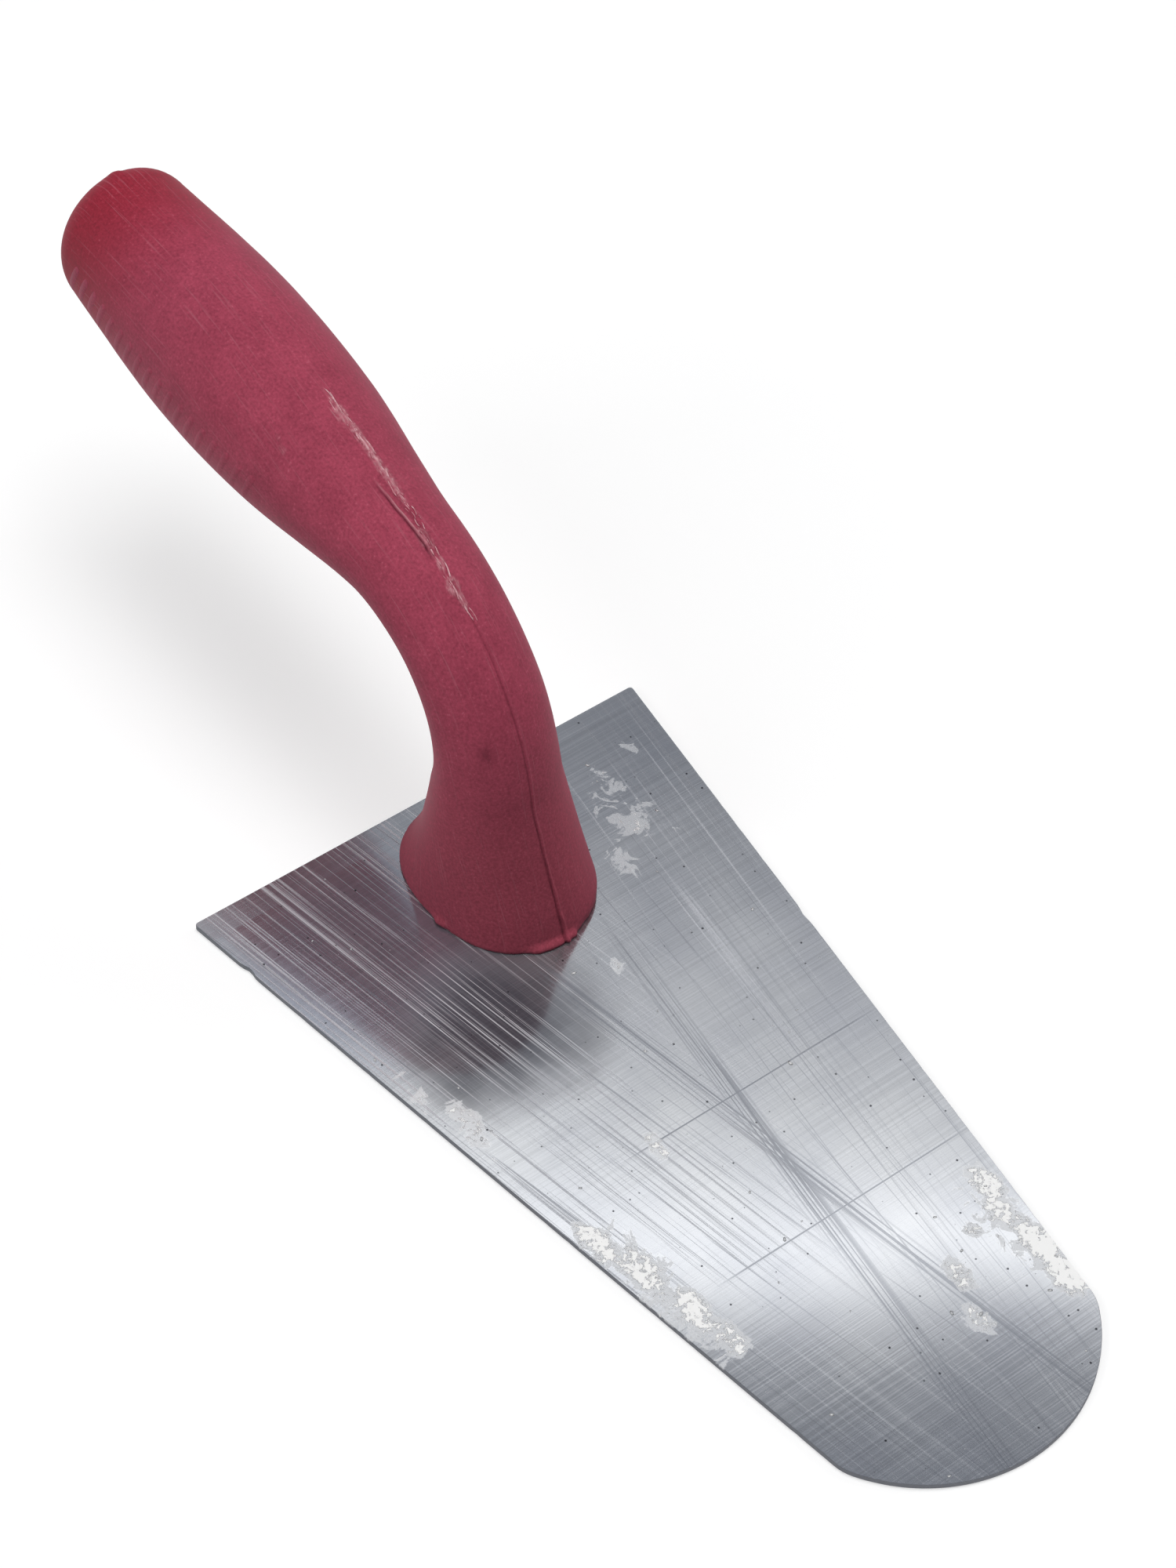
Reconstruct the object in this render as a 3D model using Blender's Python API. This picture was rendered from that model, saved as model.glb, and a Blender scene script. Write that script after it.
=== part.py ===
"""A round-nosed mason's hand trowel: a flat steel blade, a bent steel tang and a moulded grip.

Metres, +Z up. The blade lies on Z = 0 with its nose towards +X. The origin is on the blade's
underside, below the middle of the grip's foot, where the tang stands.
"""

import math

import bmesh
import bpy
from mathutils import Matrix, Vector

MM = 0.001

# Blade: a flat sheet with straight tapering sides and a round nose
BLADE_LENGTH = 180.0 * MM
BLADE_THICKNESS = 1.2 * MM
HEEL_WIDTH = 104.0 * MM
HEEL_CORNER_RADIUS = 0.7 * MM
NOSE_RADIUS = 33.0 * MM
NOSE_SWEEP = math.radians(123.0)
NOSE_CORNER_RADIUS = 9.0 * MM
HEEL_TO_FOOT = 25.0 * MM

# Grip centreline: up the neck, round the bend, then back and slightly up along the palm
BEND_CROSSING_HEIGHT = 63.9 * MM
BEND_RADIUS = 34.5 * MM
GRIP_RISE = math.radians(6.5)
GRIP_REACH = 128.5 * MM

# Grip sections: full depth in the plane of symmetry and full width across it
FOOT_LENGTH = 41.5 * MM
FOOT_WIDTH = 33.5 * MM
FOOT_SETBACK = 1.5 * MM
ANKLE_HEIGHT = 17.0 * MM
ANKLE_DEPTH = 29.5 * MM
ANKLE_WIDTH = 29.0 * MM
NECK_HEIGHT = 40.0 * MM
NECK_DEPTH = 19.2 * MM
NECK_WIDTH = 23.8 * MM
THROAT_FROM_BUTT = 101.0 * MM
THROAT_DEPTH = 18.0 * MM
THROAT_WIDTH = 23.6 * MM
SWELL_FROM_BUTT = 68.0 * MM
SWELL_DEPTH = 30.0 * MM
SWELL_WIDTH = 32.4 * MM
PALM_FROM_BUTT = 41.0 * MM
PALM_DEPTH = 35.8 * MM
PALM_WIDTH = 33.4 * MM
BUTT_DEPTH = 30.0 * MM
BUTT_WIDTH = 27.0 * MM
BUTT_EDGE_RADIUS = 7.5 * MM
BUTT_CROWN = 1.6 * MM

# Steel inside the grip
TANG_DIAMETER = 9.0 * MM
TANG_END_FROM_BUTT = 33.0 * MM
PLATE_THICKNESS = 3.0 * MM
FOOT_WALL = 5.2 * MM
WELD_BEAD_DIAMETER = 2.4 * MM

# Gap that every piece keeps to the piece it is seated on
SEAT_GAP = 0.3 * MM

# Faceting
ARC_STEP = math.radians(6.0)
RING_SIDES = 36
RING_SPACING = 4.5 * MM
BUTT_EDGE_STEPS = 5
BUTT_CROWN_SHARES = (0.6, 0.2)
TANG_POINT_SPACING = 5.0 * MM
ROUND_BAR_RESOLUTION = 6
BEAD_RING_SEGMENTS = 32
BEAD_SECTION_SEGMENTS = 12
SMOOTH_ANGLE = math.radians(35.0)
MERGE_DISTANCE = 0.001 * MM

TANG_RADIUS = TANG_DIAMETER / 2
BEAD_RADIUS = WELD_BEAD_DIAMETER / 2
BLADE_TOP = BLADE_THICKNESS
PLATE_UNDERSIDE = BLADE_TOP + SEAT_GAP
PLATE_TOP = PLATE_UNDERSIDE + PLATE_THICKNESS
FOOT_UNDERSIDE = BLADE_TOP + SEAT_GAP
BEAD_ROOM = SEAT_GAP + WELD_BEAD_DIAMETER + SEAT_GAP
POCKET_LENGTH = FOOT_LENGTH - 2 * FOOT_WALL
POCKET_WIDTH = FOOT_WIDTH - 2 * FOOT_WALL
PLATE_LENGTH = POCKET_LENGTH - 2 * BEAD_ROOM
PLATE_WIDTH = POCKET_WIDTH - 2 * BEAD_ROOM


def clear_scene():
    """Removes every object that the file starts with."""
    for obj in list(bpy.data.objects):
        bpy.data.objects.remove(obj, do_unlink=True)


def new_collection(name):
    """Returns a new collection linked to the scene."""
    collection = bpy.data.collections.new(name)
    bpy.context.scene.collection.children.link(collection)
    return collection


def new_material(name, colour, roughness, metallic):
    """Returns a Principled material with a linear base colour."""
    material = bpy.data.materials.new(name)
    material.use_nodes = True
    shader = material.node_tree.nodes["Principled BSDF"]
    shader.inputs["Base Color"].default_value = (*colour, 1.0)
    shader.inputs["Roughness"].default_value = roughness
    shader.inputs["Metallic"].default_value = metallic
    return material


def place(name, data, collection, material=None):
    """Returns an object that holds the data, linked to the collection."""
    obj = bpy.data.objects.new(name, data)
    collection.objects.link(obj)
    if material:
        data.materials.append(material)
    return obj


def shade_round(mesh):
    """Shades a mesh smooth, apart from its sharp edges."""
    mesh.shade_smooth()
    mesh.set_sharp_from_angle(angle=SMOOTH_ANGLE)


def as_mesh(curve_object, collection, material=None):
    """Returns a welded mesh object made from a curve object, which is removed."""
    bpy.context.view_layer.update()
    evaluated = curve_object.evaluated_get(bpy.context.evaluated_depsgraph_get())
    mesh = bpy.data.meshes.new_from_object(evaluated)
    mesh.materials.clear()
    shape = bmesh.new()
    shape.from_mesh(mesh)
    bmesh.ops.remove_doubles(shape, verts=shape.verts, dist=MERGE_DISTANCE)
    bmesh.ops.recalc_face_normals(shape, faces=shape.faces)
    shape.to_mesh(mesh)
    shape.free()
    shade_round(mesh)
    name, matrix = curve_object.name, curve_object.matrix_world.copy()
    bpy.data.objects.remove(curve_object, do_unlink=True)
    obj = place(name, mesh, collection, material)
    obj.matrix_world = matrix
    return obj


def arc(centre, radius, start, end):
    """Returns 2D points along an arc, both ends included."""
    steps = max(1, math.ceil(abs(end - start) / ARC_STEP))
    angles = [start + (end - start) * i / steps for i in range(steps + 1)]
    return [centre + radius * Vector((math.cos(a), math.sin(a))) for a in angles]


def flat_outline(name, points, thickness, collection):
    """Returns a 2D curve object: a filled outline, extruded to both sides of its plane."""
    curve = bpy.data.curves.new(name, "CURVE")
    curve.dimensions = "2D"
    curve.fill_mode = "BOTH"
    curve.extrude = thickness / 2
    spline = curve.splines.new("POLY")
    spline.points.add(len(points) - 1)
    for point, place_2d in zip(spline.points, points):
        point.co = (place_2d.x, place_2d.y, 0.0, 1.0)
    spline.use_cyclic_u = True
    return place(name, curve, collection)


def round_bar(name, points, radius, collection, cyclic=False):
    """Returns a curve object: a round bar or bead of one radius along the points."""
    curve = bpy.data.curves.new(name, "CURVE")
    curve.dimensions = "3D"
    curve.bevel_depth = radius
    curve.bevel_resolution = ROUND_BAR_RESOLUTION
    curve.use_fill_caps = not cyclic
    spline = curve.splines.new("POLY")
    spline.points.add(len(points) - 1)
    for point, place_3d in zip(spline.points, points):
        point.co = (*place_3d, 1.0)
    spline.use_cyclic_u = cyclic
    return place(name, curve, collection)


def blade_half_outline():
    """Returns the blade's left edge from the heel corner to the nose's tip."""
    heel = -HEEL_TO_FOOT
    nose_centre = Vector((heel + BLADE_LENGTH - NOSE_RADIUS, 0.0))
    corner = Vector((heel, HEEL_WIDTH / 2))
    half_sweep = NOSE_SWEEP / 2
    shoulder = nose_centre + NOSE_RADIUS * Vector((math.cos(half_sweep), math.sin(half_sweep)))
    along = (shoulder - corner).normalized()
    outward = Vector((-along.y, along.x))

    # The heel corner is rounded between the heel edge and the side
    turn = math.pi - math.atan2(outward.y, outward.x)
    setback = HEEL_CORNER_RADIUS * math.tan(turn / 2)
    heel_centre = Vector((heel + HEEL_CORNER_RADIUS, corner.y - setback))
    heel_arc = arc(heel_centre, HEEL_CORNER_RADIUS, math.pi, math.pi - turn)

    # The side meets the nose arc in a soft corner that is tangent to both
    side_distance = (corner - nose_centre).dot(outward)
    inner = NOSE_RADIUS - NOSE_CORNER_RADIUS
    reach = side_distance - NOSE_CORNER_RADIUS
    corner_offset = reach * outward + math.sqrt(inner**2 - reach**2) * along
    side_angle = math.atan2(outward.y, outward.x)
    nose_angle = math.atan2(corner_offset.y, corner_offset.x)
    soft_corner = arc(nose_centre + corner_offset, NOSE_CORNER_RADIUS, side_angle, nose_angle)
    nose = arc(nose_centre, NOSE_RADIUS, nose_angle, 0.0)
    return heel_arc + soft_corner + nose[1:]


def make_blade(collection, material):
    """The blade: one flat sheet, resting on Z = 0."""
    half = blade_half_outline()
    mirrored = [Vector((p.x, -p.y)) for p in reversed(half[:-1])]
    obj = flat_outline("blade", half + mirrored, BLADE_THICKNESS, collection)
    obj.data.materials.append(material)
    obj.location.z = BLADE_THICKNESS / 2
    return obj


def bend_sizes():
    """Returns the height where the bend starts, its length and the palm's straight length."""
    turn = math.pi / 2 - GRIP_RISE
    tangent = BEND_RADIUS * math.tan(turn / 2)
    return BEND_CROSSING_HEIGHT - tangent, BEND_RADIUS * turn, GRIP_REACH - tangent


def centreline_length():
    """Length of the grip's centreline from the foot's underside to the butt."""
    bend_start, bend_length, palm_length = bend_sizes()
    return bend_start - FOOT_UNDERSIDE + bend_length + palm_length


def centreline(distance):
    """Returns the point and the direction on the grip's centreline at a distance from the foot."""
    bend_start, bend_length, _ = bend_sizes()
    height = FOOT_UNDERSIDE + distance
    if height <= bend_start:
        return Vector((0.0, 0.0, height)), Vector((0.0, 0.0, 1.0))
    turned = min(height - bend_start, bend_length) / BEND_RADIUS
    back = BEND_RADIUS * (math.cos(turned) - 1)
    point = Vector((back, 0.0, bend_start + BEND_RADIUS * math.sin(turned)))
    direction = Vector((-math.sin(turned), 0.0, math.cos(turned)))
    return point + direction * max(0.0, height - bend_start - bend_length), direction


def smooth_through(stations, distance):
    """Returns the value at a distance on a smooth curve through (distance, value) stations."""
    slopes = []
    for i in range(len(stations)):
        before, after = stations[max(i - 1, 0)], stations[min(i + 1, len(stations) - 1)]
        slopes.append((after[1] - before[1]) / (after[0] - before[0]))
    for i in range(len(stations) - 1):
        (start, low), (end, high) = stations[i], stations[i + 1]
        if distance <= end or i == len(stations) - 2:
            span = end - start
            t = min(max((distance - start) / span, 0.0), 1.0)
            from_low = (1 + 2 * t) * (1 - t) ** 2 * low + t * (1 - t) ** 2 * span * slopes[i]
            from_high = t * t * (3 - 2 * t) * high + t * t * (t - 1) * span * slopes[i + 1]
            return from_low + from_high


def section_sizes(distance):
    """Returns the grip's half depth and half width at a distance from the foot."""
    butt = centreline_length()
    places = (
        0.0,
        ANKLE_HEIGHT,
        NECK_HEIGHT,
        butt - THROAT_FROM_BUTT,
        butt - SWELL_FROM_BUTT,
        butt - PALM_FROM_BUTT,
        butt,
    )
    depths = (FOOT_LENGTH, ANKLE_DEPTH, NECK_DEPTH, THROAT_DEPTH, SWELL_DEPTH, PALM_DEPTH, BUTT_DEPTH)
    widths = (FOOT_WIDTH, ANKLE_WIDTH, NECK_WIDTH, THROAT_WIDTH, SWELL_WIDTH, PALM_WIDTH, BUTT_WIDTH)
    depth = smooth_through(list(zip(places, depths)), distance)
    width = smooth_through(list(zip(places, widths)), distance)
    return depth / 2, width / 2


def grip_rings():
    """Returns (distance, half depth, half width) of the grip's sections, from the foot to the butt."""
    butt = centreline_length()
    round_start = butt - BUTT_CROWN - BUTT_EDGE_RADIUS
    count = math.ceil(round_start / RING_SPACING)
    rings = []
    for i in range(count + 1):
        distance = round_start * i / count
        rings.append((distance, *section_sizes(distance)))

    # The butt's edge is rounded, and its face is a low crown
    _, depth, width = rings[-1]
    for i in range(1, BUTT_EDGE_STEPS + 1):
        angle = math.pi / 2 * i / BUTT_EDGE_STEPS
        taken_off = BUTT_EDGE_RADIUS * (1 - math.cos(angle))
        distance = round_start + BUTT_EDGE_RADIUS * math.sin(angle)
        rings.append((distance, depth - taken_off, width - taken_off))
    _, depth, width = rings[-1]
    for share in BUTT_CROWN_SHARES:
        distance = butt - BUTT_CROWN * share**2
        rings.append((distance, depth * share, width * share))
    return rings


def setback(distance):
    """How far the grip's section lies behind the centreline, from the foot up to the ankle."""
    return FOOT_SETBACK * max(0.0, 1 - distance / ANKLE_HEIGHT) ** 2


def ring_matrix(distance, half_depth, half_width):
    """Returns the matrix that turns a unit circle into the grip's section there."""
    point, direction = centreline(distance)
    across = Vector((0.0, 1.0, 0.0))
    outward = across.cross(direction)
    point = point - outward * setback(distance)
    turn = Matrix((outward, across, direction)).transposed().to_4x4()
    return Matrix.Translation(point) @ turn @ Matrix.Diagonal((half_depth, half_width, 1.0, 1.0))


def grip_body():
    """Returns a mesh of the grip's outside: elliptical sections bridged along the centreline."""
    shape = bmesh.new()
    before = None
    rings = grip_rings()
    for number, ring in enumerate(rings):
        is_end = number in (0, len(rings) - 1)
        circle = bmesh.ops.create_circle(
            shape, cap_ends=is_end, segments=RING_SIDES, radius=1.0, matrix=ring_matrix(*ring)
        )
        edges = {edge for vert in circle["verts"] for edge in vert.link_edges}
        if before:
            bmesh.ops.bridge_loops(shape, edges=list(before | edges))
        before = edges
    bmesh.ops.recalc_face_normals(shape, faces=shape.faces)
    mesh = bpy.data.meshes.new("grip")
    shape.to_mesh(mesh)
    shape.free()
    shade_round(mesh)
    return mesh


def stadium(length, width):
    """Returns 2D points round an outline with straight sides along X and round ends."""
    radius = width / 2
    offset = Vector((length / 2 - radius, 0.0))
    front = arc(offset, radius, -math.pi / 2, math.pi / 2)
    rear = arc(-offset, radius, math.pi / 2, 3 * math.pi / 2)
    return front + rear


def make_foot_plate(collection, material):
    """The steel plate under the tang, seated on the blade."""
    outline = stadium(PLATE_LENGTH, PLATE_WIDTH)
    obj = flat_outline("foot_plate", outline, PLATE_THICKNESS, collection)
    obj.data.materials.append(material)
    obj.location.z = PLATE_UNDERSIDE + PLATE_THICKNESS / 2
    return obj


def make_foot_weld(collection, material):
    """The weld bead that runs round the foot plate, in the corner with the blade."""
    clear = 2 * (SEAT_GAP + BEAD_RADIUS)
    height = BLADE_TOP + SEAT_GAP + BEAD_RADIUS
    path = [Vector((p.x, p.y, height)) for p in stadium(PLATE_LENGTH + clear, PLATE_WIDTH + clear)]
    bead = round_bar("foot_weld", path, BEAD_RADIUS, collection, cyclic=True)
    return as_mesh(bead, collection, material)


def tang_start():
    """Distance along the centreline at which the tang stands on the foot plate."""
    return PLATE_TOP + SEAT_GAP - FOOT_UNDERSIDE


def tang_path(start, end):
    """Returns points on the grip's centreline between two distances from the foot."""
    count = math.ceil((end - start) / TANG_POINT_SPACING)
    return [centreline(start + (end - start) * i / count)[0] for i in range(count + 1)]


def make_tang(collection, material):
    """The bent round bar that carries the grip."""
    path = tang_path(tang_start(), centreline_length() - TANG_END_FROM_BUTT)
    return as_mesh(round_bar("tang", path, TANG_RADIUS, collection), collection, material)


def make_tang_weld(collection, material):
    """The weld bead round the tang's lower end, on the foot plate."""
    bpy.ops.mesh.primitive_torus_add(
        location=(0.0, 0.0, PLATE_TOP + SEAT_GAP + BEAD_RADIUS),
        major_radius=TANG_RADIUS + SEAT_GAP + BEAD_RADIUS,
        minor_radius=BEAD_RADIUS,
        major_segments=BEAD_RING_SEGMENTS,
        minor_segments=BEAD_SECTION_SEGMENTS,
    )
    obj = bpy.context.active_object
    obj.name = "tang_weld"
    for owner in list(obj.users_collection):
        owner.objects.unlink(obj)
    collection.objects.link(obj)
    obj.data.materials.append(material)
    shade_round(obj.data)
    return obj


def foot_pocket(cutters):
    """Cutter for the pocket in the foot: it clears the foot plate and the bead round it."""
    top = PLATE_TOP + SEAT_GAP
    bottom = FOOT_UNDERSIDE - BLADE_THICKNESS
    outline = stadium(POCKET_LENGTH, POCKET_WIDTH)
    cutter = flat_outline("foot_pocket", outline, top - bottom, cutters)
    cutter.location.z = (top + bottom) / 2
    return as_mesh(cutter, cutters)


def weld_pocket(cutters):
    """Cutter for the round pocket above it, which clears the bead round the tang."""
    bottom = PLATE_TOP
    top = PLATE_TOP + BEAD_ROOM
    radius = TANG_RADIUS + BEAD_ROOM
    outline = arc(Vector((0.0, 0.0)), radius, 0.0, 2 * math.pi)[:-1]
    cutter = flat_outline("weld_pocket", outline, top - bottom, cutters)
    cutter.location.z = (top + bottom) / 2
    return as_mesh(cutter, cutters)


def tang_bore(cutters):
    """Cutter for the bore that the tang fills."""
    start = PLATE_TOP - FOOT_UNDERSIDE
    end = centreline_length() - TANG_END_FROM_BUTT + SEAT_GAP
    path = tang_path(start, end)
    return as_mesh(round_bar("tang_bore", path, TANG_RADIUS + SEAT_GAP, cutters), cutters)


def make_grip(collection, cutters, material):
    """The moulded grip, from its foot on the blade to its butt, hollowed for the steel inside."""
    obj = place("grip", grip_body(), collection, material)
    for cutter in (foot_pocket(cutters), weld_pocket(cutters), tang_bore(cutters)):
        cutter.hide_render = True
        cutter.display_type = "WIRE"
        cut = obj.modifiers.new(cutter.name, "BOOLEAN")
        cut.operation = "DIFFERENCE"
        cut.solver = "EXACT"
        cut.object = cutter
    return obj


def main():
    """Builds the trowel from the blade up."""
    clear_scene()
    trowel = new_collection("mason_trowel")
    cutters = new_collection("cutters")
    blade_steel = new_material("rolled_blade_steel", (0.52, 0.54, 0.57), 0.32, 1.0)
    bar_steel = new_material("black_bar_steel", (0.24, 0.24, 0.25), 0.5, 1.0)
    weld_metal = new_material("weld_metal", (0.33, 0.32, 0.31), 0.45, 1.0)
    red_plastic = new_material("red_polypropylene", (0.42, 0.035, 0.05), 0.42, 0.0)
    make_blade(trowel, blade_steel)
    make_foot_plate(trowel, bar_steel)
    make_foot_weld(trowel, weld_metal)
    make_tang(trowel, bar_steel)
    make_tang_weld(trowel, weld_metal)
    make_grip(trowel, cutters, red_plastic)


main()
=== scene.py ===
"""Looks of a round-nosed mason's trowel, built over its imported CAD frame.

Metres, +Z up, in the part's own frame: the blade lies on Z = 0 with its nose towards +X, and the
grip's foot stands over the origin.
"""

import logging
import math
from dataclasses import dataclass, field
from enum import Enum
from functools import partial, reduce
from typing import Any, Callable, Sequence

import bpy
from bpy.types import Camera, Light, Material, Mesh, Node, NodeSocket, NodeTree, Object, World
from mathutils import Matrix, Vector, noise


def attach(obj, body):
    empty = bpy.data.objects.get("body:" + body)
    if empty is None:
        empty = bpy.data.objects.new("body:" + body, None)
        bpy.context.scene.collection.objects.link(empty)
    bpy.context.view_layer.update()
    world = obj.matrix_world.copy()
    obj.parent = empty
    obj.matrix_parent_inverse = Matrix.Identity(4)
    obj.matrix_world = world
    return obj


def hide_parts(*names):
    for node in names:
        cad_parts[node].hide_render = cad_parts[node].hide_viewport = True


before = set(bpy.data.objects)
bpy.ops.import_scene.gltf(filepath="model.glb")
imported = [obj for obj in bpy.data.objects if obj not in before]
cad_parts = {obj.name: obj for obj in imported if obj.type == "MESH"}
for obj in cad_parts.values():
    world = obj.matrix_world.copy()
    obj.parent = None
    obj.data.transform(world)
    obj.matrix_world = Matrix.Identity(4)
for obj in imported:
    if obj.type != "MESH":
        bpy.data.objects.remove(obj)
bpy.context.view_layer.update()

LOG = logging.getLogger("trowel")
MM = 0.001
BODY = "root"
ACROSS = Vector((0.0, 1.0, 0.0))
WHITE = (1.0, 1.0, 1.0, 1.0)
# Settings that many nodes share
SMOOTH = {"interpolation_type": "SMOOTHSTEP"}
FLAT = {"noise_dimensions": "2D"}
# Levels between which most of a noise lies
NOISE_RANGE = (0.3, 0.7)

Point2 = tuple[float, float]
Colour = tuple[float, float, float, float]
Source = Node | NodeSocket
Adder = Callable[..., Node]


class Slot(Enum):
    """The record's material slots."""

    BLADE = "rolled_blade_steel"
    GRIP = "red_polypropylene"


class Side(Enum):
    """The part of the blade that scratches keep to: an axis, and where none and all of them lie, in mm."""

    LEFT = (1, 26.0, -8.0)
    RIGHT = (1, -14.0, 14.0)
    HEEL = (0, 58.0, 26.0)
    PAST_FOOT = (0, 16.0, 30.0)


class Layer(Enum):
    """Names of the vertex attributes that the finishes read."""

    RESIDUE = "residue"
    RIM = "rim"
    TORN = "torn"
    CREASE = "crease"
    ALONG = "along"
    FLECKS = "flecks"


def srgb(code: str) -> Colour:
    """Turns an sRGB hex colour into a linear one.

    Args:
        code: Six hex digits, with or without a leading hash.

    Returns:
        Linear red, green and blue, with an alpha of 1.
    """
    digits = code.lstrip("#")
    channels = []
    for start in (0, 2, 4):
        value = int(digits[start:start + 2], 16) / 255
        channels.append(value / 12.92 if value <= 0.04045 else ((value + 0.055) / 1.055) ** 2.4)
    return (channels[0], channels[1], channels[2], 1.0)


def metres(places: Sequence[float]) -> list[float]:
    """Turns places in millimetres into metres."""
    return [place * MM for place in places]


def add(tree: NodeTree, kind: str, *values: Any, **settings: Any) -> Node:
    """Adds one node to a tree, with its settings, constants and links.

    Args:
        tree: The node tree.
        kind: The node's type name, with or without the word for its family.
        *values: Inputs in order. A dict among them holds more, by name or number. A node links its
            first output in use, a socket links itself, and anything else is a constant.
        **settings: Properties of the node.

    Returns:
        The new node.
    """
    families = ("ShaderNode", "GeometryNode", "FunctionNode", "")
    node = tree.nodes.new(next(family + kind for family in families if hasattr(bpy.types, family + kind)))
    for name, value in settings.items():
        setattr(node, name, value)
    inputs: dict[Any, Any] = {}
    for number, value in enumerate(values):
        inputs.update(value if isinstance(value, dict) else {number: value})
    for key, value in inputs.items():
        if isinstance(value, Node):
            value = next(socket for socket in value.outputs if socket.enabled)
        if isinstance(value, NodeSocket):
            tree.links.new(value, node.inputs[key])
        else:
            node.inputs[key].default_value = value
    return node


def emptied(owner: Material | World) -> Adder:
    """Clears the nodes of a material or a world.

    Args:
        owner: What the nodes belong to.

    Returns:
        The function that adds a node to it.
    """
    owner.use_nodes = True
    owner.node_tree.nodes.clear()
    return partial(add, owner.node_tree)


def join(node: Adder, operation: str, *parts: Source | float) -> Node:
    """Joins values by one Math operation, each with what came before it."""
    return reduce(lambda before, part: node("Math", before, part, operation=operation), parts)


def coat(node: Adder, base: Source | str, *layers: tuple[Source, Source | str]) -> Node:
    """Lays colours over one another.

    Args:
        node: Adds a node to the material.
        base: The lowest colour, from a node or as an sRGB hex code.
        *layers: How much each further colour covers, and that colour.

    Returns:
        The node whose colour shows.
    """
    for share, colour in layers:
        below, above = (srgb(tone) if isinstance(tone, str) else tone for tone in (base, colour))
        base = node("Mix", {0: share, 6: below, 7: above}, data_type="RGBA")
    return base


def relieved(node: Adder, *layers: tuple[float, float, Node]) -> Node:
    """Lays reliefs over one another.

    Args:
        node: Adds a node to the material.
        *layers: Strength, height in millimetres and pattern of each.

    Returns:
        The node whose normal they give.
    """
    below: dict[str, Node] = {}
    for strength, height, pattern in layers:
        bump = node("Bump", {"Strength": strength, "Distance": height * MM, "Height": pattern, **below})
        below = {"Normal": bump}
    return below["Normal"]


def smooth_step(low: float, high: float, value: float) -> float:
    """Rises smoothly from 0 at low to 1 at high, or falls where low is the larger.

    Args:
        low: Where the step is 0.
        high: Where the step is 1.
        value: The place on the step.

    Returns:
        The height of the step there.
    """
    t = min(max((value - low) / (high - low), 0.0), 1.0)
    return t * t * (3 - 2 * t)


def bell(value: float, centre: float, width: float) -> float:
    """Height of a smooth bump of height 1 about a centre."""
    return math.exp(-((value - centre) / width) ** 2)


def wobble(x: float, y: float, z: float) -> float:
    """Level of a smooth noise, about 1 apart, from -1 to 1."""
    return noise.noise(Vector((x, y, z)))


def through(stations: Sequence[Point2], place: float) -> float:
    """Reads a smooth curve through stations.

    Args:
        stations: Pairs of place and value, in rising order of place.
        place: Where to read the curve.

    Returns:
        The value there.
    """
    last = len(stations) - 1
    slopes = []
    for i in range(last + 1):
        before, after = stations[max(i - 1, 0)], stations[min(i + 1, last)]
        slopes.append((after[1] - before[1]) / (after[0] - before[0]))
    i = next((n for n in range(last) if place <= stations[n + 1][0]), last - 1)
    (start, low), (end, high) = stations[i], stations[i + 1]
    span = end - start
    t = min(max((place - start) / span, 0.0), 1.0)
    from_low = (1 + 2 * t) * (1 - t) ** 2 * low + t * (1 - t) ** 2 * span * slopes[i]
    from_high = t * t * (3 - 2 * t) * high + t * t * (t - 1) * span * slopes[i + 1]
    return from_low + from_high


def new_object(name: str, data: Mesh | Light | Camera, material: Material | None = None) -> Object:
    """Links an object to the scene.

    Args:
        name: The object's name.
        data: Its mesh, light or camera.
        material: What dresses its mesh, or None where the mesh brings its own.

    Returns:
        The object.
    """
    obj = bpy.data.objects.new(name, data)
    bpy.context.scene.collection.objects.link(obj)
    if material is not None:
        data.materials.clear()
        data.materials.append(material)
    return obj


def settle(obj: Object, stands_for: str | None = None) -> None:
    """Lets a piece ride on the body.

    Args:
        obj: The piece.
        stands_for: The CAD node that it takes the place of, if any.
    """
    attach(obj, BODY)
    if stands_for:
        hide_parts(stands_for)
    LOG.info("%s: %d faces", obj.name, len(obj.data.polygons))


def store_floats(mesh: Mesh, layer: Layer, values: Sequence[float]) -> None:
    """Stores one number for each vertex under a layer's name."""
    mesh.attributes.new(layer.value, "FLOAT", "POINT").data.foreach_set("value", values)


def rail(name: str, points: Sequence[Vector]) -> Mesh:
    """Makes a mesh of edges along a path, for a Geometry Nodes tree to follow.

    Args:
        name: The mesh's name.
        points: The path's points in order.

    Returns:
        The mesh.
    """
    mesh = bpy.data.meshes.new(name)
    mesh.from_pydata([tuple(p) for p in points], [(i, i + 1) for i in range(len(points) - 1)], [])
    return mesh


def tapered(node: Adder, curve: Node, radius: Source, sides: int, full: float, bluntness: float) -> Node:
    """Adds a round rod along a curve, which runs out to nothing at both ends.

    Args:
        node: Adds a node to the tree.
        curve: The rod's middle line.
        radius: Of its section.
        sides: Of its section.
        full: Share of the radius in its middle.
        bluntness: Power of its taper.

    Returns:
        The node that makes the rod.
    """
    share = node("MapRange", node("SplineParameter"), 0.0, 1.0, -1.0, 1.0)
    taken = join(node, "POWER", share, bluntness)
    taper = join(node, "SUBTRACT", full, taken)
    thin = node("SetCurveRadius", curve, {"Radius": taper})
    profile = node("CurvePrimitiveCircle", {"Resolution": sides, "Radius": radius})
    return node("CurveToMesh", {"Curve": thin, "Profile Curve": profile, "Scale": taper, "Fill Caps": True})


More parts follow.
